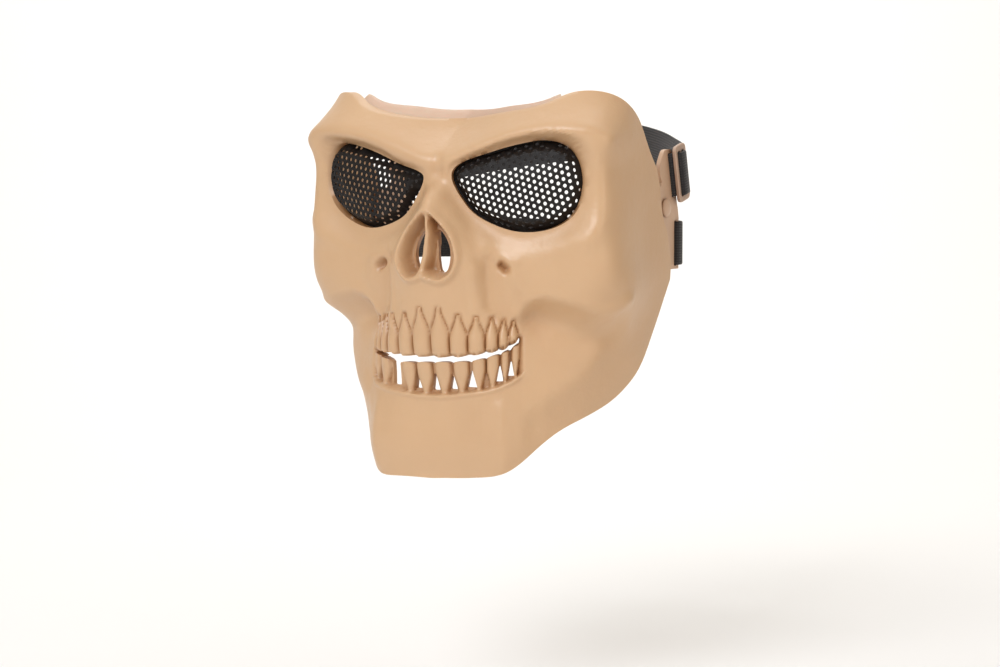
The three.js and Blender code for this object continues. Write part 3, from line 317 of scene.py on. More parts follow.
def face(angle, z, teeth=True):
    """Outer surface: the bare face, plus a bell curve across each fold's path, drawn back to
    the eye plane round each eye, recessed inside the nose outline, plus the teeth."""
    turn = no_crease(angle, 3.0)
    lift = HEIGHT * along(BROW_LIFT, turn) * ease(-16, 6, z) * (1 - 0.55 * ease(22, 48, z))
    reach = bare_face(turn, z - lift)
    x = no_crease(angle, 1.2) * ARC
    for height, width, path in FOLDS.values():
        reach = reach + height * np.exp(-((path_distance(on_face(path), x, z)[0] / width) ** 2))
    way = np.arctan2(z - EYE_MIDDLE[1], x - EYE_MIDDLE[0] * ARC)
    above = ease(-0.25, 0.45, np.sin(way))
    width = SOCKET_WIDE * (1 - above) + SOCKET_NARROW * above
    width = width * (1 - 0.35 * ease(0.2, 1, np.cos(way))) * (1 - 0.45 * ease(0.3, 1, -np.cos(way)))
    right, left = [np.exp(-((np.maximum(loop_distance(eye, x, z), 0) / width) ** 2))
                   for eye in (EYE_RIGHT, EYE_LEFT)]
    reach = reach + (eye_plane(turn) - reach) * (right + (left - right) * ease(-5, 5, angle))
    distance = loop_distance(NOSE, angle * ARC, z)
    reach = reach + NOSE_RIM * np.exp(-(((distance - 1.4) / 1.9) ** 2))
    aside, share = path_distance(on_face(SEPTUM), angle * ARC, z)
    wall = 0.88 * np.exp(-((aside / (1.7 + 0.9 * share)) ** 4))
    reach = reach - NOSE_DEPTH * ease(0.6, -3.6, distance) * (1 - wall)
    if teeth:
        mouth = 1 - ease(MOUTH_ANGLE - 1, MOUTH_ANGLE + 2, np.abs(angle))
        reach = reach + mouth * (upper_teeth(angle, z) + lower_teeth(angle, z))
    return reach


def arches(teeth, angle):
    """Row of half circles, 1 at the middle of each tooth and 0 at its sides."""
    wave = np.zeros(angle.shape)
    for middle, half in teeth:
        wave = np.maximum(wave, np.sqrt(np.clip(1 - ((angle - middle) / half) ** 2, 0, 1)))
    return wave


def openings(angle, z):
    """Distance to the nearest opening of the shell, negative inside one."""
    turn = np.abs(angle)
    x = turn * ARC
    eye = np.where(angle > 0, loop_distance(EYE_LEFT, x, z), loop_distance(EYE_RIGHT, x, z))
    near = np.minimum(eye, loop_distance(NOSTRIL, x, z))
    tips = [((low + high) / 2, (high - low) / 2) for low, high in zip(UPPER_EDGES[:-1], UPPER_EDGES[1:])]
    upper = along(BITE_LINE, angle) + 1.0 - 1.1 * arches(tips, turn)
    lower = along(BITE_LINE, angle) - along(BITE_OPENING, angle) - 1.0 + arches(LOWER_TEETH, angle)
    slit = np.maximum(np.maximum(z - upper, lower - z), (turn - MOUTH_ANGLE) * ARC)
    near = np.minimum(near, slit)
    for middle, top, foot, half, share in TOOTH_GAPS:
        down = np.clip((top - z) / (top - foot), 0, 1)
        side = np.abs(angle - middle) * ARC - half * ARC * (share + (1 - share) * down)
        near = np.minimum(near, np.maximum(np.maximum(z - top, foot - z), side))
    return near


def polar(angle, reach, z):
    """Points in mm from an angle round the head, a distance from its axis and a height."""
    turn = np.radians(angle)
    return np.stack([reach * np.sin(turn), -reach * np.cos(turn), z], -1)


def spaced(stops, end):
    """Values with a step that changes at each (start, step) of stops, up to end."""
    starts = [start for start, step in stops] + [end]
    runs = [np.linspace(a, b, max(2, int(round((b - a) / step)) + 1))[:-1]
            for a, b, (start, step) in zip(starts[:-1], starts[1:], stops)]
    return np.concatenate(runs + [[end]])


def snapped(angle, z):
    """Moves the grid points next to an opening's outline onto it: of the two ends of each grid
    line that the outline crosses, the nearer one slides down the slope of the distance."""
    distance = openings(angle, z)
    move = np.zeros(angle.shape, bool)
    for axis in (0, 1):
        a = np.moveaxis(distance, axis, 0)
        flags = np.moveaxis(move, axis, 0)
        crossed = (a[:-1] > 0) != (a[1:] > 0)
        first = np.abs(a[:-1]) <= np.abs(a[1:])
        flags[:-1] |= crossed & first
        flags[1:] |= crossed & ~first
    tiny = 0.05
    for _ in range(3):
        slope_x = (openings(angle + tiny / ARC, z) - openings(angle - tiny / ARC, z)) / (2 * tiny)
        slope_z = (openings(angle, z + tiny) - openings(angle, z - tiny)) / (2 * tiny)
        size = np.maximum(slope_x**2 + slope_z**2, 0.3)
        angle = np.where(move, angle - distance * slope_x / size / ARC, angle)
        z = np.where(move, z - distance * slope_z / size, z)
        distance = openings(angle, z)
    return angle, z, np.where(move, 0, distance)


def grid_triangles(distance):
    """Two triangles to each cell of a grid, cut along the diagonal that joins points lying on
    an outline, keeping those with no corner inside an opening."""
    rows, columns = distance.shape
    index = np.arange(rows * columns).reshape(rows, columns)
    a, b, c, d = index[:-1, :-1], index[1:, :-1], index[1:, 1:], index[:-1, 1:]
    on = distance == 0
    other = (on[1:, :-1] & on[:-1, 1:]) & ~(on[:-1, :-1] & on[1:, 1:])
    first = np.where(other[..., None], np.stack([a, b, d], -1), np.stack([a, b, c], -1))
    second = np.where(other[..., None], np.stack([b, c, d], -1), np.stack([a, c, d], -1))
    triangles = np.concatenate([first.reshape(-1, 3), second.reshape(-1, 3)])
    flat = distance.ravel()[triangles]
    return triangles[(flat >= 0).all(1) & (flat.max(1) > 0)]


def thick(outer, inner, triangles):
    """Closed sheet: the outer points' triangles, the same turned round on the inner points,
    and a strip of two triangles along every edge that only one triangle uses."""
    used = np.unique(triangles)
    renumber = np.zeros(len(outer), int)
    renumber[used] = np.arange(len(used))
    triangles = renumber[triangles]
    outer, inner = outer[used], inner[used]
    count = len(outer)
    edges = np.concatenate([triangles[:, [0, 1]], triangles[:, [1, 2]], triangles[:, [2, 0]]])
    key = edges[:, 0] * count + edges[:, 1]
    back = edges[:, 1] * count + edges[:, 0]
    rim = edges[~np.isin(key, back)]
    strips = np.concatenate([
        np.stack([rim[:, 0], rim[:, 0] + count, rim[:, 1] + count], -1),
        np.stack([rim[:, 0], rim[:, 1] + count, rim[:, 1]], -1),
    ])
    faces = np.concatenate([triangles, triangles[:, ::-1] + count, strips])
    return np.concatenate([outer, inner]), faces


def filled(corners, edges, wanted):
    """Flat triangulation of corners with the given edges fixed in it: the triangles whose
    middles are wanted stay, all turned the same way."""
    found = delaunay_2d_cdt([Vector(p) for p in corners.tolist()], edges.tolist(), [], 0, 1e-5)
    flat = np.array([tuple(p) for p in found[0]])
    triangles = np.array([tri for tri in found[2] if len(tri) == 3])
    triangles = triangles[wanted(flat[triangles].mean(1))]
    a, b, c = flat[triangles].transpose(1, 0, 2)
    area = (b[:, 0] - a[:, 0]) * (c[:, 1] - a[:, 1]) - (b[:, 1] - a[:, 1]) * (c[:, 0] - a[:, 0])
    return flat, np.where(area[:, None] > 0, triangles, triangles[:, ::-1])


def tube(rings, around, capped=True):
    """Triangles that join each ring of points to the next, and a fan over each open end."""
    index = np.arange(rings * around).reshape(rings, around)
    a, b = index[:-1], index[1:]
    c, d = np.roll(b, -1, 1), np.roll(a, -1, 1)
    faces = [np.stack([a, b, c], -1).reshape(-1, 3), np.stack([a, c, d], -1).reshape(-1, 3)]
    if capped:
        fan = np.arange(1, around - 1)
        cap = np.stack([np.zeros_like(fan), fan, fan + 1], -1)
        faces += [cap, cap[:, ::-1] + (rings - 1) * around]
    return np.concatenate(faces)


def ring_edges(start, count):
    """Edges that join count points, numbered from start, in a ring."""
    around = np.arange(count)
    return np.stack([around, np.roll(around, -1)], -1) + start


def circle(count, radius):
    """Points of a circle round the origin."""
    turn = np.arange(count) * 2 * np.pi / count
    return radius * np.stack([np.cos(turn), np.sin(turn)], -1)


def on_side(side, points, faces):
    """A shape made for the wearer's left as it is, or mirrored with its faces turned back."""
    return (points, faces) if side > 0 else (points * [-1, 1, 1], faces[:, ::-1])


def piece(name, points, faces, node, crease=40, uv=None):
    """Object at the origin from points in mm and triangles or quads, shaded smooth except
    where two faces meet at more than crease degrees, standing for a CAD node."""
    mesh = bpy.data.meshes.new(name)
    faces = np.asarray(faces)
    size = faces.shape[1]
    mesh.vertices.add(len(points))
    mesh.vertices.foreach_set("co", (np.asarray(points) / 1000).astype(np.float32).ravel())
    mesh.loops.add(faces.size)
    mesh.loops.foreach_set("vertex_index", faces.astype(np.int32).ravel())
    mesh.polygons.add(len(faces))
    mesh.polygons.foreach_set("loop_start", (np.arange(len(faces)) * size).astype(np.int32))
    mesh.polygons.foreach_set("use_smooth", np.ones(len(faces), bool))
    mesh.update(calc_edges=True)
    mesh.validate()
    if uv is not None:
        layer = mesh.uv_layers.new(name="webbing")
        layer.data.foreach_set("uv", uv[faces.ravel()].astype(np.float32).ravel())
    mesh.set_sharp_from_angle(angle=math.radians(crease))
    made = bpy.data.objects.new(name, mesh)
    bpy.context.scene.collection.objects.link(made)
    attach(made, "root")
    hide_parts(node)
    return made


def colour(text):
    """sRGB hex to a linear RGBA colour."""
    parts = np.array([int(text[k:k + 2], 16) for k in (1, 3, 5)]) / 255
    linear = np.where(parts <= 0.04045, parts / 12.92, ((parts + 0.055) / 1.055) ** 2.4)
    return (*linear.tolist(), 1.0)


def node(material, kind, settings=None, links=None):
    """Adds one shader node: settings go on sockets or properties, links are (socket, source)."""
    made = material.node_tree.nodes.new(kind)
    for key, value in (settings or {}).items():
        if isinstance(key, int) or key in made.inputs:
            made.inputs[key].default_value = value
        else:
            setattr(made, key, value)
    for key, source in (links or {}).items():
        material.node_tree.links.new(made.inputs[key], source)
    return made


def empty_material(name):
    """Node material with nothing in it yet."""
    material = bpy.data.materials.new(name)
    material.use_nodes = True
    material.node_tree.nodes.clear()
    return material


def cloud(material, size_mm, detail):
    """Noise in the piece's own space, with swells about size_mm across."""
    place = node(material, "ShaderNodeTexCoord").outputs["Object"]
    settings = {"Scale": 1000 / size_mm, "Detail": detail}
    return node(material, "ShaderNodeTexNoise", settings, {"Vector": place}).outputs["Fac"]


def mixed(material, share, first, second):
    """Mix of two colours by a share; each is a hex text or another node's output."""
    pair = {6: first, 7: second}
    texts = {key: colour(value) for key, value in pair.items() if isinstance(value, str)}
    links = {key: value for key, value in pair.items() if key not in texts}
    return node(material, "ShaderNodeMix", {"data_type": "RGBA", **texts}, {0: share, **links}).outputs[2]


def bump(material, strength, depth_mm, height, under=None):
    """Relief that only the light sees, laid over another one where there is one."""
    links = {"Height": height} if under is None else {"Height": height, "Normal": under}
    settings = {"Strength": strength, "Distance": depth_mm / 1000}
    return node(material, "ShaderNodeBump", settings, links).outputs[0]


def surface(material, settings, links):
    """Gives a material its one shader."""
    skin = node(material, "ShaderNodeBsdfPrincipled", settings, links)
    node(material, "ShaderNodeOutputMaterial", {}, {"Surface": skin.outputs[0]})
    return material


def moulded_plastic(name, light, dark, deep, grain_mm, rough):
    """Moulded thermoplastic: two close tones in soft clouds, with painted shade in the recesses where
    ambient occlusion turns the colour to the deep tone, a spark-eroded grain over a slightly
    uneven surface and a little light scattered below it."""
    material = empty_material(name)
    tone = mixed(material, cloud(material, 38, 3.0), dark, light)
    # Painted shade: the colour darkens to the deep tone where the surface is enclosed, such as teeth grooves,
    # hollows and folds.
    painted_shade_ao = node(material, "ShaderNodeAmbientOcclusion", {"samples": 8, "Distance": 0.014})
    openness = node(material, "ShaderNodeMapRange",
                    {"From Min": 0.25, "From Max": 0.95, "To Min": 0.0, "To Max": 1.0},
                    {"Value": painted_shade_ao.outputs["AO"]})
    grain = cloud(material, grain_mm, 2.0)
    sheen = node(material, "ShaderNodeMapRange",
                 {"From Min": 0.3, "From Max": 0.7, "To Min": rough - 0.04, "To Max": rough + 0.06},
                 {"Value": grain})
    uneven = bump(material, 0.35, 0.9, cloud(material, 7, 2.0))
    return surface(
        material,
        {"IOR": 1.49, "Specular IOR Level": 0.75, "Subsurface Weight": 0.08,
         "Subsurface Radius": (0.004, 0.0022, 0.0012), "Subsurface Scale": 1.0},
        {"Base Color": mixed(material, openness.outputs[0], deep, tone), "Roughness": sheen.outputs[0],
         "Normal": bump(material, 0.14, 0.2, grain, uneven)})


columns = spaced([(-REAR_ANGLE, 1.7), (-52, 1.15), (-33, .43), (33, 1.15), (52, 1.7)], REAR_ANGLE)
rows = spaced([(0, .0105), (.21, .0034), (.475, .0062), (.545, .0052), (.78, .0076)], 1.0)
shell_angle, share = np.meshgrid(columns, rows, indexing="ij")
shell_top = free_edge(TOP_EDGE_RIGHT, TOP_EDGE_LEFT, shell_angle)
shell_chin = free_edge(CHIN_EDGE_RIGHT, CHIN_EDGE_LEFT, shell_angle)
shell_z = shell_chin + (shell_top - shell_chin) * share
shell_angle, shell_z, off_outline = snapped(shell_angle, shell_z)
shell_reach = face(shell_angle, shell_z)
smooth_reach = face(shell_angle, shell_z, teeth=False)
# The inner face lies one wall below the bare face or the lowest of the 5 x 5 points around.
near = np.pad(shell_reach, 2, mode="edge")
high, wide = shell_reach.shape
lowest = np.minimum.reduce([near[i:i + high, k:k + wide] for i in range(5) for k in range(5)])
climb = (face(shell_angle, shell_z + 1, False) - face(shell_angle, shell_z - 1, False)) / 2
swing = (face(shell_angle + 1, shell_z, False) - face(shell_angle - 1, shell_z, False)) / (2 * ARC)
run = WALL * np.minimum(np.sqrt(1 + climb**2 + swing**2), WALL_STRETCH)
inner_reach = np.minimum(smooth_reach, lowest + 0.4) - run
outer_points = polar(shell_angle, shell_reach, shell_z).reshape(-1, 3)
inner_points = polar(shell_angle, inner_reach, shell_z).reshape(-1, 3)
points, faces = thick(outer_points, inner_points, grid_triangles(off_outline))
shell = piece("shell", points, faces, "mask_shell", crease=50)
# The third colour, #a06f44, is the painted shade in the shell's recesses.
tan_plastic = moulded_plastic("moulded tan thermoplastic", "#d1ac84", "#c7a17a", "#a06f44", 0.55, 0.40)
shell.data.materials.append(tan_plastic)

# Eye covers. Sheet steel, punched with about 200 round holes in close rows 3.65 mm apart,
# pressed to a shallow dome and painted satin black. The rim is clipped behind the socket.
GAP = 0.35  # play between neighbouring pieces, here and in the fittings
SIDES = ((1, "left"), (-1, "right"))
HOLE_PITCH = 3.65
HOLE_RADIUS = 1.1
HOLE_CORNERS = 10
HOLE_MARGIN = 0.95  # least depth inside the rim at which a hole is centred
HOLE_LEAN = {1: 12.0, -1: -20.0}  # turn of the rows on each side, in degrees
SHEET = 0.9
DOME = 5.5
RIM_BEHIND = 2.4
RIM_INSET = 0.8
PLANE_LENGTH = math.hypot(1, EYE_SLOPE)
PLANE_OUT = np.array([EYE_SLOPE, -1, 0]) / PLANE_LENGTH


def sheet_rise(inside):
    """Height of the sheet over the plane of the opening: seated behind the wall at its rim,
    it climbs past the plane and then swells to the dome."""
    seat = WALL_STRETCH * WALL + GAP + SHEET
    return -seat + (seat + 0.5 * DOME) * ease(0.0, 5.5, inside) + 0.5 * DOME * ease(4, 20, inside)


def eye_sheet(side, name, cad_node):
    """The sheet is triangulated flat in the plane of the opening, with its outline and every
    hole as fixed edges; then each point moves out by a rise that depends on its distance
    inside the rim, and a second layer one sheet thickness behind closes it."""
    outline = rounded(EYE_LEFT_OUTLINE if side > 0 else EYE_RIGHT_OUTLINE, 6)
    reach = eye_plane(outline[:, 0])
    flat = np.stack([reach * np.sin(np.radians(outline[:, 0])) * PLANE_LENGTH, outline[:, 1]], -1)
    centre = flat.mean(0)
    spoke = flat - centre
    length = np.linalg.norm(spoke, axis=1, keepdims=True)
    border = centre + spoke * (1 + RIM_BEHIND / length)
    foot = centre + spoke * (1 - RIM_INSET / length)
    step = HOLE_PITCH * math.sqrt(3) / 2
    k, m = np.meshgrid(np.arange(-14, 15), np.arange(-12, 13), indexing="ij")
    grid = np.stack([k * step, (m + 0.5 * (k % 2)) * HOLE_PITCH], -1).reshape(-1, 2)
    lean = math.radians(HOLE_LEAN[side])
    spots = centre + grid @ np.array([[math.cos(lean), math.sin(lean)], [-math.sin(lean), math.cos(lean)]])
    depth = -loop_distance(flat, spots[:, 0], spots[:, 1]) - RIM_INSET
    spots, depth = spots[depth > HOLE_MARGIN], depth[depth > HOLE_MARGIN]
    # Each hole is round in the sloping sheet, so in the flat it is narrower towards the rim.
    fall = np.stack([loop_distance(flat, spots[:, 0] + a, spots[:, 1] + b)
                     - loop_distance(flat, spots[:, 0] - a, spots[:, 1] - b)
                     for a, b in ((.1, 0), (0, .1))], -1)
    fall = fall / np.maximum(np.linalg.norm(fall, axis=1, keepdims=True), 1e-6)
    narrow = 1 / np.hypot(1, (sheet_rise(depth + 0.1) - sheet_rise(depth - 0.1)) / 0.2)
    ring = circle(HOLE_CORNERS, HOLE_RADIUS)
    towards = (fall @ ring.T) * (1 - narrow[:, None])
    holes = (spots[:, None, :] + ring[None] - towards[:, :, None] * fall[:, None, :]).reshape(-1, 2)
    count = len(flat)
    edges = [ring_edges(0, count), ring_edges(count, count)]
    edges += [ring_edges(2 * count + HOLE_CORNERS * k, HOLE_CORNERS) for k in range(len(spots))]

    def solid(middle):
        """Inside the rim and outside every hole."""
        offset = middle[:, None, :] - spots[None]
        along_fall = np.sum(offset * fall[None], axis=2) * (1 / narrow - 1)
        to_hole = np.linalg.norm(offset + along_fall[:, :, None] * fall[None], axis=2).min(axis=1)
        return (loop_distance(border, middle[:, 0], middle[:, 1]) < 0) & (to_hole > HOLE_RADIUS * 0.94)

    flat_points, triangles = filled(np.concatenate([border, foot, holes]), np.concatenate(edges), solid)
    x, z = flat_points[:, 0] / PLANE_LENGTH, flat_points[:, 1]
    y = EYE_SLOPE * x - EYE_PLANE
    inside = -loop_distance(flat, flat_points[:, 0], z) - RIM_INSET
    over_face = np.minimum(0, face(side * np.degrees(np.arctan2(x, -y)), z, teeth=False) - np.hypot(x, y))
    rise = sheet_rise(inside) + np.where(inside < -RIM_INSET, over_face, 0)
    back = np.stack([x, y, z], -1) + PLANE_OUT * rise[:, None]
    return piece(name, *on_side(side, *thick(back + PLANE_OUT * SHEET, back, triangles)), cad_node, crease=35)


def painted_steel():
    """Satin black enamel on steel: nearly black, faint orange peel, broad dull highlight."""
    material = empty_material("satin black enamel on steel")
    peel = cloud(material, 0.9, 1.0)
    return surface(material, {"Roughness": 0.55, "Specular IOR Level": 0.3},
                   {"Base Color": mixed(material, peel, "#0f0c0b", "#1a1513"),
                    "Normal": bump(material, 0.1, 0.1, peel)})


black_enamel = painted_steel()
for side, label in SIDES:
    cover = eye_sheet(side, "eye_cover_" + label, "eye_mesh_" + label)
    cover.data.materials.append(black_enamel)

# Brow strip. Soft translucent vinyl, about 2.4 mm thick with rounded edges, glued behind
# the brow edge so that it doesn't rub the forehead. It stands 5 mm above the edge in the
# middle and on the wearer's right, 3 mm on the left, and less at its ends.
PAD_ANGLE = 47.0
PAD_RISE = 5.0
PAD_TUCK = 8.0
PAD_THICK = 2.4
PAD_GAP = 0.6
PAD_STATIONS, PAD_AROUND = 121, 28
pad_angle, pad_turn = np.meshgrid(np.linspace(-PAD_ANGLE, PAD_ANGLE, PAD_STATIONS),
                                  np.linspace(0, 2 * np.pi, PAD_AROUND, endpoint=False), indexing="ij")
# The section is a flat oval: height runs as the cosine to the power 0.5, depth as the sine's.
up, deep = [np.sign(wave) * np.abs(wave) ** 0.5 for wave in (np.cos(pad_turn), np.sin(pad_turn))]
pad_edge = free_edge(TOP_EDGE_RIGHT, TOP_EDGE_LEFT, pad_angle)
end_fade = np.sqrt(np.clip(1 - (np.abs(pad_angle) / (PAD_ANGLE + 0.35)) ** 16, 0, 1))
pad_top = PAD_RISE * (1 - 0.4 * ease(0, 25, pad_angle)) * (1 - 0.55 * ease(24, 46, np.abs(pad_angle)))
pad_rise = ((pad_top - PAD_TUCK) / 2 + up * (pad_top + PAD_TUCK) / 2) * (0.72 + 0.28 * end_fade)
edge_reach = face(pad_angle, pad_edge, teeth=False)
pad_climb = (edge_reach - face(pad_angle, pad_edge - 5, teeth=False)) / 5
below = face(pad_angle, pad_edge + np.minimum(pad_rise, 0), teeth=False)
pad_level = np.where(pad_rise < 0, below, edge_reach + pad_climb * pad_rise)
slant = np.hypot(1, pad_climb)
pad_depth = PAD_THICK * (0.5 + deep * 0.5 * end_fade)
pad_reach = pad_level - WALL * np.minimum(slant, 1.5) - (PAD_GAP + pad_depth) * slant
pad_points = polar(pad_angle, pad_reach, pad_edge + pad_rise).reshape(-1, 3)
pad = piece("brow_strip", pad_points, tube(PAD_STATIONS, PAD_AROUND), "brow_pad", crease=60)


def soft_vinyl():
    """Soft vinyl: pale, browner where the eye looks along its surface; light soaks in and
    spreads, and the surface looks dull and a little wet."""
    material = empty_material("translucent soft vinyl")
    mottle = cloud(material, 6, 3.0)
    tone = mixed(material, mottle, "#cfb59d", "#d8c0aa")
    edge = node(material, "ShaderNodeLayerWeight", {"Blend": 0.28})
    return surface(
        material,
        {"Roughness": 0.38, "IOR": 1.52, "Subsurface Weight": 0.4,
         "Subsurface Radius": (0.006, 0.003, 0.0025), "Subsurface Scale": 1.0},
        {"Base Color": mixed(material, edge.outputs["Facing"], tone, "#a87f66"),
         "Normal": bump(material, 0.1, 0.3, mottle)})


pad.data.materials.append(soft_vinyl())

# Side plates. Tan plastic plates 2.5 mm thick, fixed flat inside the shell's rear edge, with
# a slanting slot for the upper strap and an upright one for the lower strap.
PLATE_SEAT = 87.5
PLATE_THICK = 2.5
STRAP_WIDE = 25.0
STRAP_THICK = 1.8
SLOT_WIDE = 2.8
PLATE_OUTLINE = [
    (17.5, .060), (14.5, .050), (10.6, .022), (10.6, -.006), (12.8, -.026), (8, -.044), (-2, -.056),
    (-6, -.083), (-6, -.12), (0, -.148), (6, -.175), (10, -.216), (13.6, -.249), (15, -.2545), (17, -.255),
    (33, -.255), (34.6, -.2545), (35.4, -.251), (35.6, -.245), (35.6, -.132), (35.4, -.118), (34.4, -.096),
    (32.8, -.075), (27, .030), (26, .049), (25.2, .057), (24, .061),
]
UPPER = {"slot": (24.8, -.007), "slope": 14.0}
LOWER = {"slot": (31.0, -.187), "slope": 0.0}
STUD = (17.0, -.092)
STUD_PIN = 2.2
STUD_RADIUS = 5.2
STUD_HIGH = 2.4


def strap_frame(strap, u, v):
    """Point in the plate's plane from a run u along the strap and v across it."""
    turn = math.radians(strap["slope"])
    back = strap["slot"][0] + u * math.cos(turn) - v * math.sin(turn)
    return np.stack([back, strap["slot"][1] * HEIGHT + u * math.sin(turn) + v * math.cos(turn)], -1)


def box_loop(strap, u0, u1, half, corner):
    """Rectangle with quarter-circle corners, in a strap's frame, counter-clockwise."""
    turn = np.linspace(0, np.pi / 2, 5)
    corners = []
    for k, (u, v) in enumerate(((u1, half), (u0, half), (u0, -half), (u1, -half))):
        sign_u, sign_v = (1 if k in (0, 3) else -1), (1 if k < 2 else -1)
        arc = turn + k * np.pi / 2
        corners.append(np.stack([u - sign_u * corner + corner * np.cos(arc),
                                 v - sign_v * corner + corner * np.sin(arc)], -1))
    loop = np.concatenate(corners)
    return strap_frame(strap, loop[:, 0], loop[:, 1])


def side_plate(outline, holes, inside, thickness, side):
    """Flat outline with holes, triangulated with both as fixed edges, given its thickness
    sideways from the plane and turned over for the right side."""
    loops = [outline] + holes
    starts = np.cumsum([0] + [len(loop) for loop in loops])
    edges = [ring_edges(start, len(loop)) for start, loop in zip(starts, loops)]

    def solid(middle):
        """Inside the outline and outside every hole."""
        keep = loop_distance(outline, middle[:, 0], middle[:, 1]) < 0
        for hole in holes:
            keep &= loop_distance(hole, middle[:, 0], middle[:, 1]) > 0
        return keep

    flat, triangles = filled(np.concatenate(loops), np.concatenate(edges), solid)
    inner = np.column_stack([np.full(len(flat), inside), flat])
    return on_side(side, *thick(inner + [thickness, 0, 0], inner, triangles))


def softened(made, width, segments):
    """Bevel on the outline edges, as the mould's small radius leaves them."""
    bevel = made.modifiers.new("mould radius", "BEVEL")
    bevel.width = width / 1000
    bevel.segments = segments
    bevel.limit_method = "ANGLE"
    bevel.angle_limit = math.radians(50)
    bevel.harden_normals = False


# The third colour, #a07a5c, is the painted shade in the plates' recesses.
fitting_plastic = moulded_plastic("moulded tan fitting plastic", "#d2b193", "#c8a589", "#a07a5c", 0.5, 0.40)
plate_outline = rounded((np.array(PLATE_OUTLINE) * [1, HEIGHT])[::-1], 3)
stud_middle = np.array([STUD[0], STUD[1] * HEIGHT])
plate_holes = [stud_middle + circle(24, STUD_PIN + GAP)]
slots = [box_loop(strap, -SLOT_WIDE / 2, SLOT_WIDE / 2, STRAP_WIDE / 2 + 0.5, 0.8)
         for strap in (UPPER, LOWER)]
for side, label in SIDES:
    shape = side_plate(plate_outline, slots + plate_holes, PLATE_SEAT, PLATE_THICK, side)
    plate = piece("side_plate_" + label, *shape, "strap_plate_" + label, crease=35)
    softened(plate, 0.45, 2)
    plate.data.materials.append(fitting_plastic)

# Plate studs. Turned-over plastic rivets: a low domed head outside each plate, a shank
# through it and a flat foot inside.
STUD_SIDES = 48
head = PLATE_THICK + GAP
dome_share = np.linspace(0, 1, 9)
stud_profile = np.array(
    [(0, -1.35), (2.9, -1.35), (3.2, -1.15), (3.2, -GAP), (STUD_PIN, -GAP), (STUD_PIN, head),
     (STUD_RADIUS - 0.2, head), (STUD_RADIUS, head + 0.2)]
    + [(STUD_RADIUS * math.cos(t * math.pi / 2), head + 0.6 + (STUD_HIGH - 0.6) * math.sin(t * math.pi / 2))
       for t in dome_share])
# A profile of (radius, height) turned round the rivet's axis.
radius, high = stud_profile[:, 0][:, None], stud_profile[:, 1][:, None]
spoke = circle(STUD_SIDES, 1.0)
stud_points = np.stack(np.broadcast_arrays(PLATE_SEAT + high, stud_middle[0] + radius * spoke[:, 0],
                                           stud_middle[1] + radius * spoke[:, 1]), -1)
stud_faces = tube(len(stud_profile), STUD_SIDES, capped=False)
for side, label in SIDES:
    places = stud_points.reshape(-1, 3) * [side, 1, 1]
    known, which = np.unique(np.round(places, 4), axis=0, return_inverse=True)
    turned = which.ravel()[stud_faces[:, ::-1] if side > 0 else stud_faces]
    turned = turned[(turned != np.roll(turned, 1, 1)).all(1)]
    stud = piece("rivet_" + label, known, turned, "plate_stud_" + label, crease=50)
    stud.data.materials.append(fitting_plastic)

# Sliders. Moulded three-bar slides that hold the upper strap's length, over one layer of
# webbing: it comes up through the front window, over the middle bar and down at the rear.
SLIDER_HIGH = 33.0
SLIDER_THICK = 2.3
BAR = 2.7
WINDOW = 2.9
SLIDER_LEAD = 0.8
slider_front = -SLIDER_LEAD
slider_inside = PLATE_SEAT + PLATE_THICK + 2 * GAP + STRAP_THICK
slider_end = slider_front + 3 * BAR + 2 * WINDOW
slider_outline = box_loop(UPPER, slider_front, slider_end, SLIDER_HIGH / 2, 3.0)
windows = [box_loop(UPPER, slider_front + BAR + k * (BAR + WINDOW),
                    slider_front + (k + 1) * (BAR + WINDOW), STRAP_WIDE / 2 + 0.5, 0.9) for k in (0, 1)]
# The third colour, #86695a, is the painted shade in the slides' recesses.
slider_plastic = moulded_plastic("moulded taupe slide plastic", "#bda18b", "#ae917b", "#86695a", 0.5, 0.4)
for side, label in SIDES:
    shape = side_plate(slider_outline, windows, slider_inside, SLIDER_THICK, side)
    slider = piece("slide_" + label, *shape, "slider_" + label, crease=35)
    softened(slider, 0.6, 3)
    slider.data.materials.append(slider_plastic)

# Straps. Black elastic webbing 25 mm wide, woven in fine lengthwise ribs, folded through
# the slots and stretched round the back of the head.
TAIL = 15.0
RIB = 1.5
PICK = 1.0
WAVE = 1000 * 2 * math.pi / 20  # scale at which the wave texture repeats every millimetre
UPPER_RUN = [(85, 49.5, 4.3), (76, 60.5, 6.5), (63, 73, 10), (46, 85, 13.5), (24, 94.5, 16.7), (0, 98, 18)]
LOWER_RUN = [(89.5, 40, -40.6), (84.5, 49.5, -40.8), (75.5, 60.5, -41), (62, 73, -41.7), (45, 84.5, -42.3),
             (23, 93.5, -43), (0, 96.5, -43.2)]


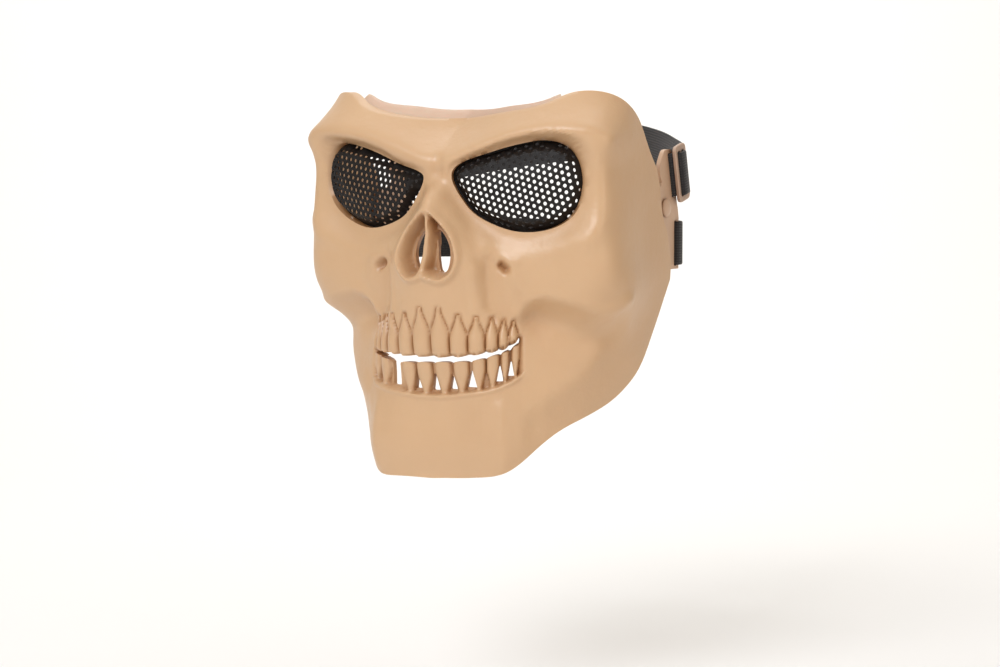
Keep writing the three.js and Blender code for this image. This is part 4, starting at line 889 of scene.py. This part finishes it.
def webbing(strap, run, slide, name, cad_node):
    """Middle line of the strap: straight folds in the plate's frame, then a smooth curve round
    the head, mirrored. A rounded flat section, set square to it, is carried along the line."""
    half = STRAP_THICK / 2
    inside = -GAP - half
    outside = PLATE_THICK + GAP + half
    stops = [(TAIL, inside - 0.8), (4, inside), (0.5, inside), (0, inside + 0.5), (0, outside - 0.5),
             (0.5, outside)]
    if slide:
        above = outside + half + 2 * GAP + SLIDER_THICK + half
        first = BAR + WINDOW / 2 - SLIDER_LEAD
        second = first + BAR + WINDOW
        stops += [(first - 0.5, outside), (first, outside + 0.5), (first, above - 0.5), (first + 0.5, above),
                  (second - 0.5, above), (second, above - 0.5), (second, outside + 0.5),
                  (second + 0.5, outside), (slider_end + 0.8, outside)]
    else:
        stops += [(5, outside)]
    stops = np.array(stops)
    flat = strap_frame(strap, stops[:, 0], 0)
    folds = np.column_stack([PLATE_SEAT + stops[:, 1], flat])
    knots = np.vstack([folds[-1], run])
    knots = np.vstack([knots, (knots[:-1] * [-1, 1, 1])[::-1]])
    length = np.concatenate([[0], np.cumsum(np.linalg.norm(np.diff(knots, axis=0), axis=1))])
    at = np.linspace(0, length[-1], 161)[1:-1]
    curve = np.stack([spline(length, knots[:, k], at) for k in range(3)], -1)
    line = np.vstack([folds, curve, (folds * [-1, 1, 1])[::-1]])
    way = np.gradient(line, axis=0)
    way /= np.linalg.norm(way, axis=1, keepdims=True)
    turn = math.radians(strap["slope"])
    upright = np.array([0, 0, 1]) - way * way[:, 2:]
    upright /= np.linalg.norm(upright, axis=1, keepdims=True)
    fixed = np.array([0, -math.sin(turn), math.cos(turn)])
    upright[:len(folds)] = fixed
    upright[-len(folds):] = fixed
    before = np.cross(np.diff(line, axis=0, prepend=line[:1]), upright)
    after = np.cross(np.diff(line, axis=0, append=line[-1:]), upright)
    before[0], after[-1] = after[0], before[-1]
    before /= np.linalg.norm(before, axis=1, keepdims=True)
    after /= np.linalg.norm(after, axis=1, keepdims=True)
    out = before + after
    out /= np.linalg.norm(out, axis=1, keepdims=True)
    out /= np.clip(np.sum(out * before, axis=1, keepdims=True), 0.6, 1)
    edge = np.array([-.5, -.492, -.47, -.30, -.1, .1, .30, .47, .492, .5])
    puff = np.array([.35, .75, 1, 1, 1, 1, 1, 1, .75, .35])
    across = np.concatenate([edge, edge[::-1]]) * STRAP_WIDE
    depth = np.concatenate([puff, -puff[::-1]]) * half
    points = line[:, None] + upright[:, None] * across[None, :, None] + out[:, None] * depth[None, :, None]
    count, size = points.shape[:2]
    walked = np.concatenate([[0], np.cumsum(np.linalg.norm(np.diff(line, axis=0), axis=1))])
    uv = np.stack(np.broadcast_arrays(walked[:, None] / 1000, across[None] / 1000), -1).reshape(-1, 2)
    return piece(name, points.reshape(-1, 3), tube(count, size), cad_node, crease=50, uv=uv)


def woven_elastic():
    """Black polyester webbing: fine ribs along its length and picks across it."""
    material = empty_material("woven black elastic webbing")
    place = node(material, "ShaderNodeUVMap", {"uv_map": "webbing"}).outputs[0]
    ribs, picks = [node(material, "ShaderNodeTexWave",
                        {"bands_direction": way, "Scale": WAVE / step, "Distortion": 0.0},
                        {"Vector": place}).outputs["Fac"] for way, step in (("Y", RIB), ("X", PICK))]
    weave = node(material, "ShaderNodeMath", {"operation": "MULTIPLY"}, {0: ribs, 1: picks}).outputs[0]
    return surface(material, {"Roughness": 0.85, "Sheen Weight": 0.25},
                   {"Base Color": mixed(material, weave, "#1a1819", "#363334"),
                    "Normal": bump(material, 0.6, 0.3, weave)})


elastic = woven_elastic()
for strap, run, slide, label in ((UPPER, UPPER_RUN, True, "upper"), (LOWER, LOWER_RUN, False, "lower")):
    band = webbing(strap, np.array(run, float), slide, label + "_strap", "strap_" + label)
    band.data.materials.append(elastic)

# Studio. A pale matt sweep runs flat below the mask and curves up behind it. Two soft lamps
# and one from above light the mask with an even sky, and a fourth whitens the sweep. The
# camera stands where the photograph was taken.
AZIMUTH = math.radians(29)
ELEVATION = math.radians(4.5)
BEND = 0.9  # radius of the sweep's curve, in m
FLOOR = -0.30
bend = np.linspace(0, np.pi / 2, 16)[1:]
sweep_out = np.concatenate([np.linspace(-2.6, BEND, 12), BEND + BEND * np.sin(bend), [1.8, 1.8]])
sweep_up = np.concatenate([np.zeros(12), BEND - BEND * np.cos(bend), [1.8, 3.2]]) + FLOOR
away = np.array([-math.sin(AZIMUTH), math.cos(AZIMUTH), 0])
sideways = np.array([math.cos(AZIMUTH), math.sin(AZIMUTH), 0])
wide = np.linspace(-3.5, 3.5, 3)
sweep = (sweep_out[:, None, None] * away + wide[None, :, None] * sideways
         + np.array([0, 0, 1.0]) * sweep_up[:, None, None]).reshape(-1, 3)
index = np.arange(len(sweep)).reshape(-1, 3)
sweep_faces = np.stack([index[:-1, :-1], index[:-1, 1:], index[1:, 1:], index[1:, :-1]], -1).reshape(-1, 4)
sweep_mesh = bpy.data.meshes.new("sweep")
sweep_mesh.from_pydata(sweep.tolist(), [], sweep_faces.tolist())
sweep_mesh.polygons.foreach_set("use_smooth", np.ones(len(sweep_faces), bool))
floor = bpy.data.objects.new("sweep", sweep_mesh)
bpy.context.scene.collection.objects.link(floor)
paper = surface(empty_material("pale matt paper"), {"Base Color": colour("#f4f3f1"), "Roughness": 0.9}, {})
floor.data.materials.append(paper)


def lamp(name, place, power, size, tint, aim=(0.0, -0.03, -0.06)):
    """Square soft lamp that looks at a point, the middle of the mask if none is named."""
    light = bpy.data.lights.new(name, "AREA")
    light.energy = power
    light.size = size
    light.color = colour(tint)[:3]
    made = bpy.data.objects.new(name, light)
    made.location = place
    made.rotation_euler = (Vector(aim) - Vector(place)).to_track_quat("-Z", "Y").to_euler()
    bpy.context.scene.collection.objects.link(made)


lamp("key", (-0.05, -1.5, 1.05), 20, 0.8, "#f6f9ff")
lamp("fill", (1.5, -0.7, 0.25), 4, 1.0, "#fff0e0")
lamp("top", (0.1, 0.2, 1.5), 3, 1.2, "#ffffff")
lamp("backdrop", (-0.35, 0.55, 1.3), 14, 1.0, "#ffffff", (-0.8, 1.6, 0.2))
world = bpy.data.worlds.new("studio")
bpy.context.scene.world = world
world.use_nodes = True
sky = world.node_tree.nodes["Background"]
sky.inputs["Color"].default_value = colour("#fff8ef")
sky.inputs["Strength"].default_value = 0.45
bpy.context.scene.view_settings.view_transform = "Standard"

FRAME_MM = 36  # width of the camera's frame
FOCAL_SHARE = 2586 / 1000  # focal length as a share of that width
CAMERA_AWAY = 1.5
CAMERA_LEFT = 0.00696
CAMERA_DOWN = 0.0937
right = Vector(sideways)
back = Vector((*(-away[:2] * math.cos(ELEVATION)), math.sin(ELEVATION)))
above = back.cross(right)
camera_data = bpy.data.cameras.new("camera")
camera_data.lens = FRAME_MM * FOCAL_SHARE
camera_data.sensor_width = FRAME_MM
camera = bpy.data.objects.new("camera", camera_data)
place = back * CAMERA_AWAY - right * CAMERA_LEFT - above * CAMERA_DOWN
camera.matrix_world = Matrix.Translation(place) @ Matrix((right, above, back)).transposed().to_4x4()
bpy.context.scene.collection.objects.link(camera)
bpy.context.scene.camera = camera
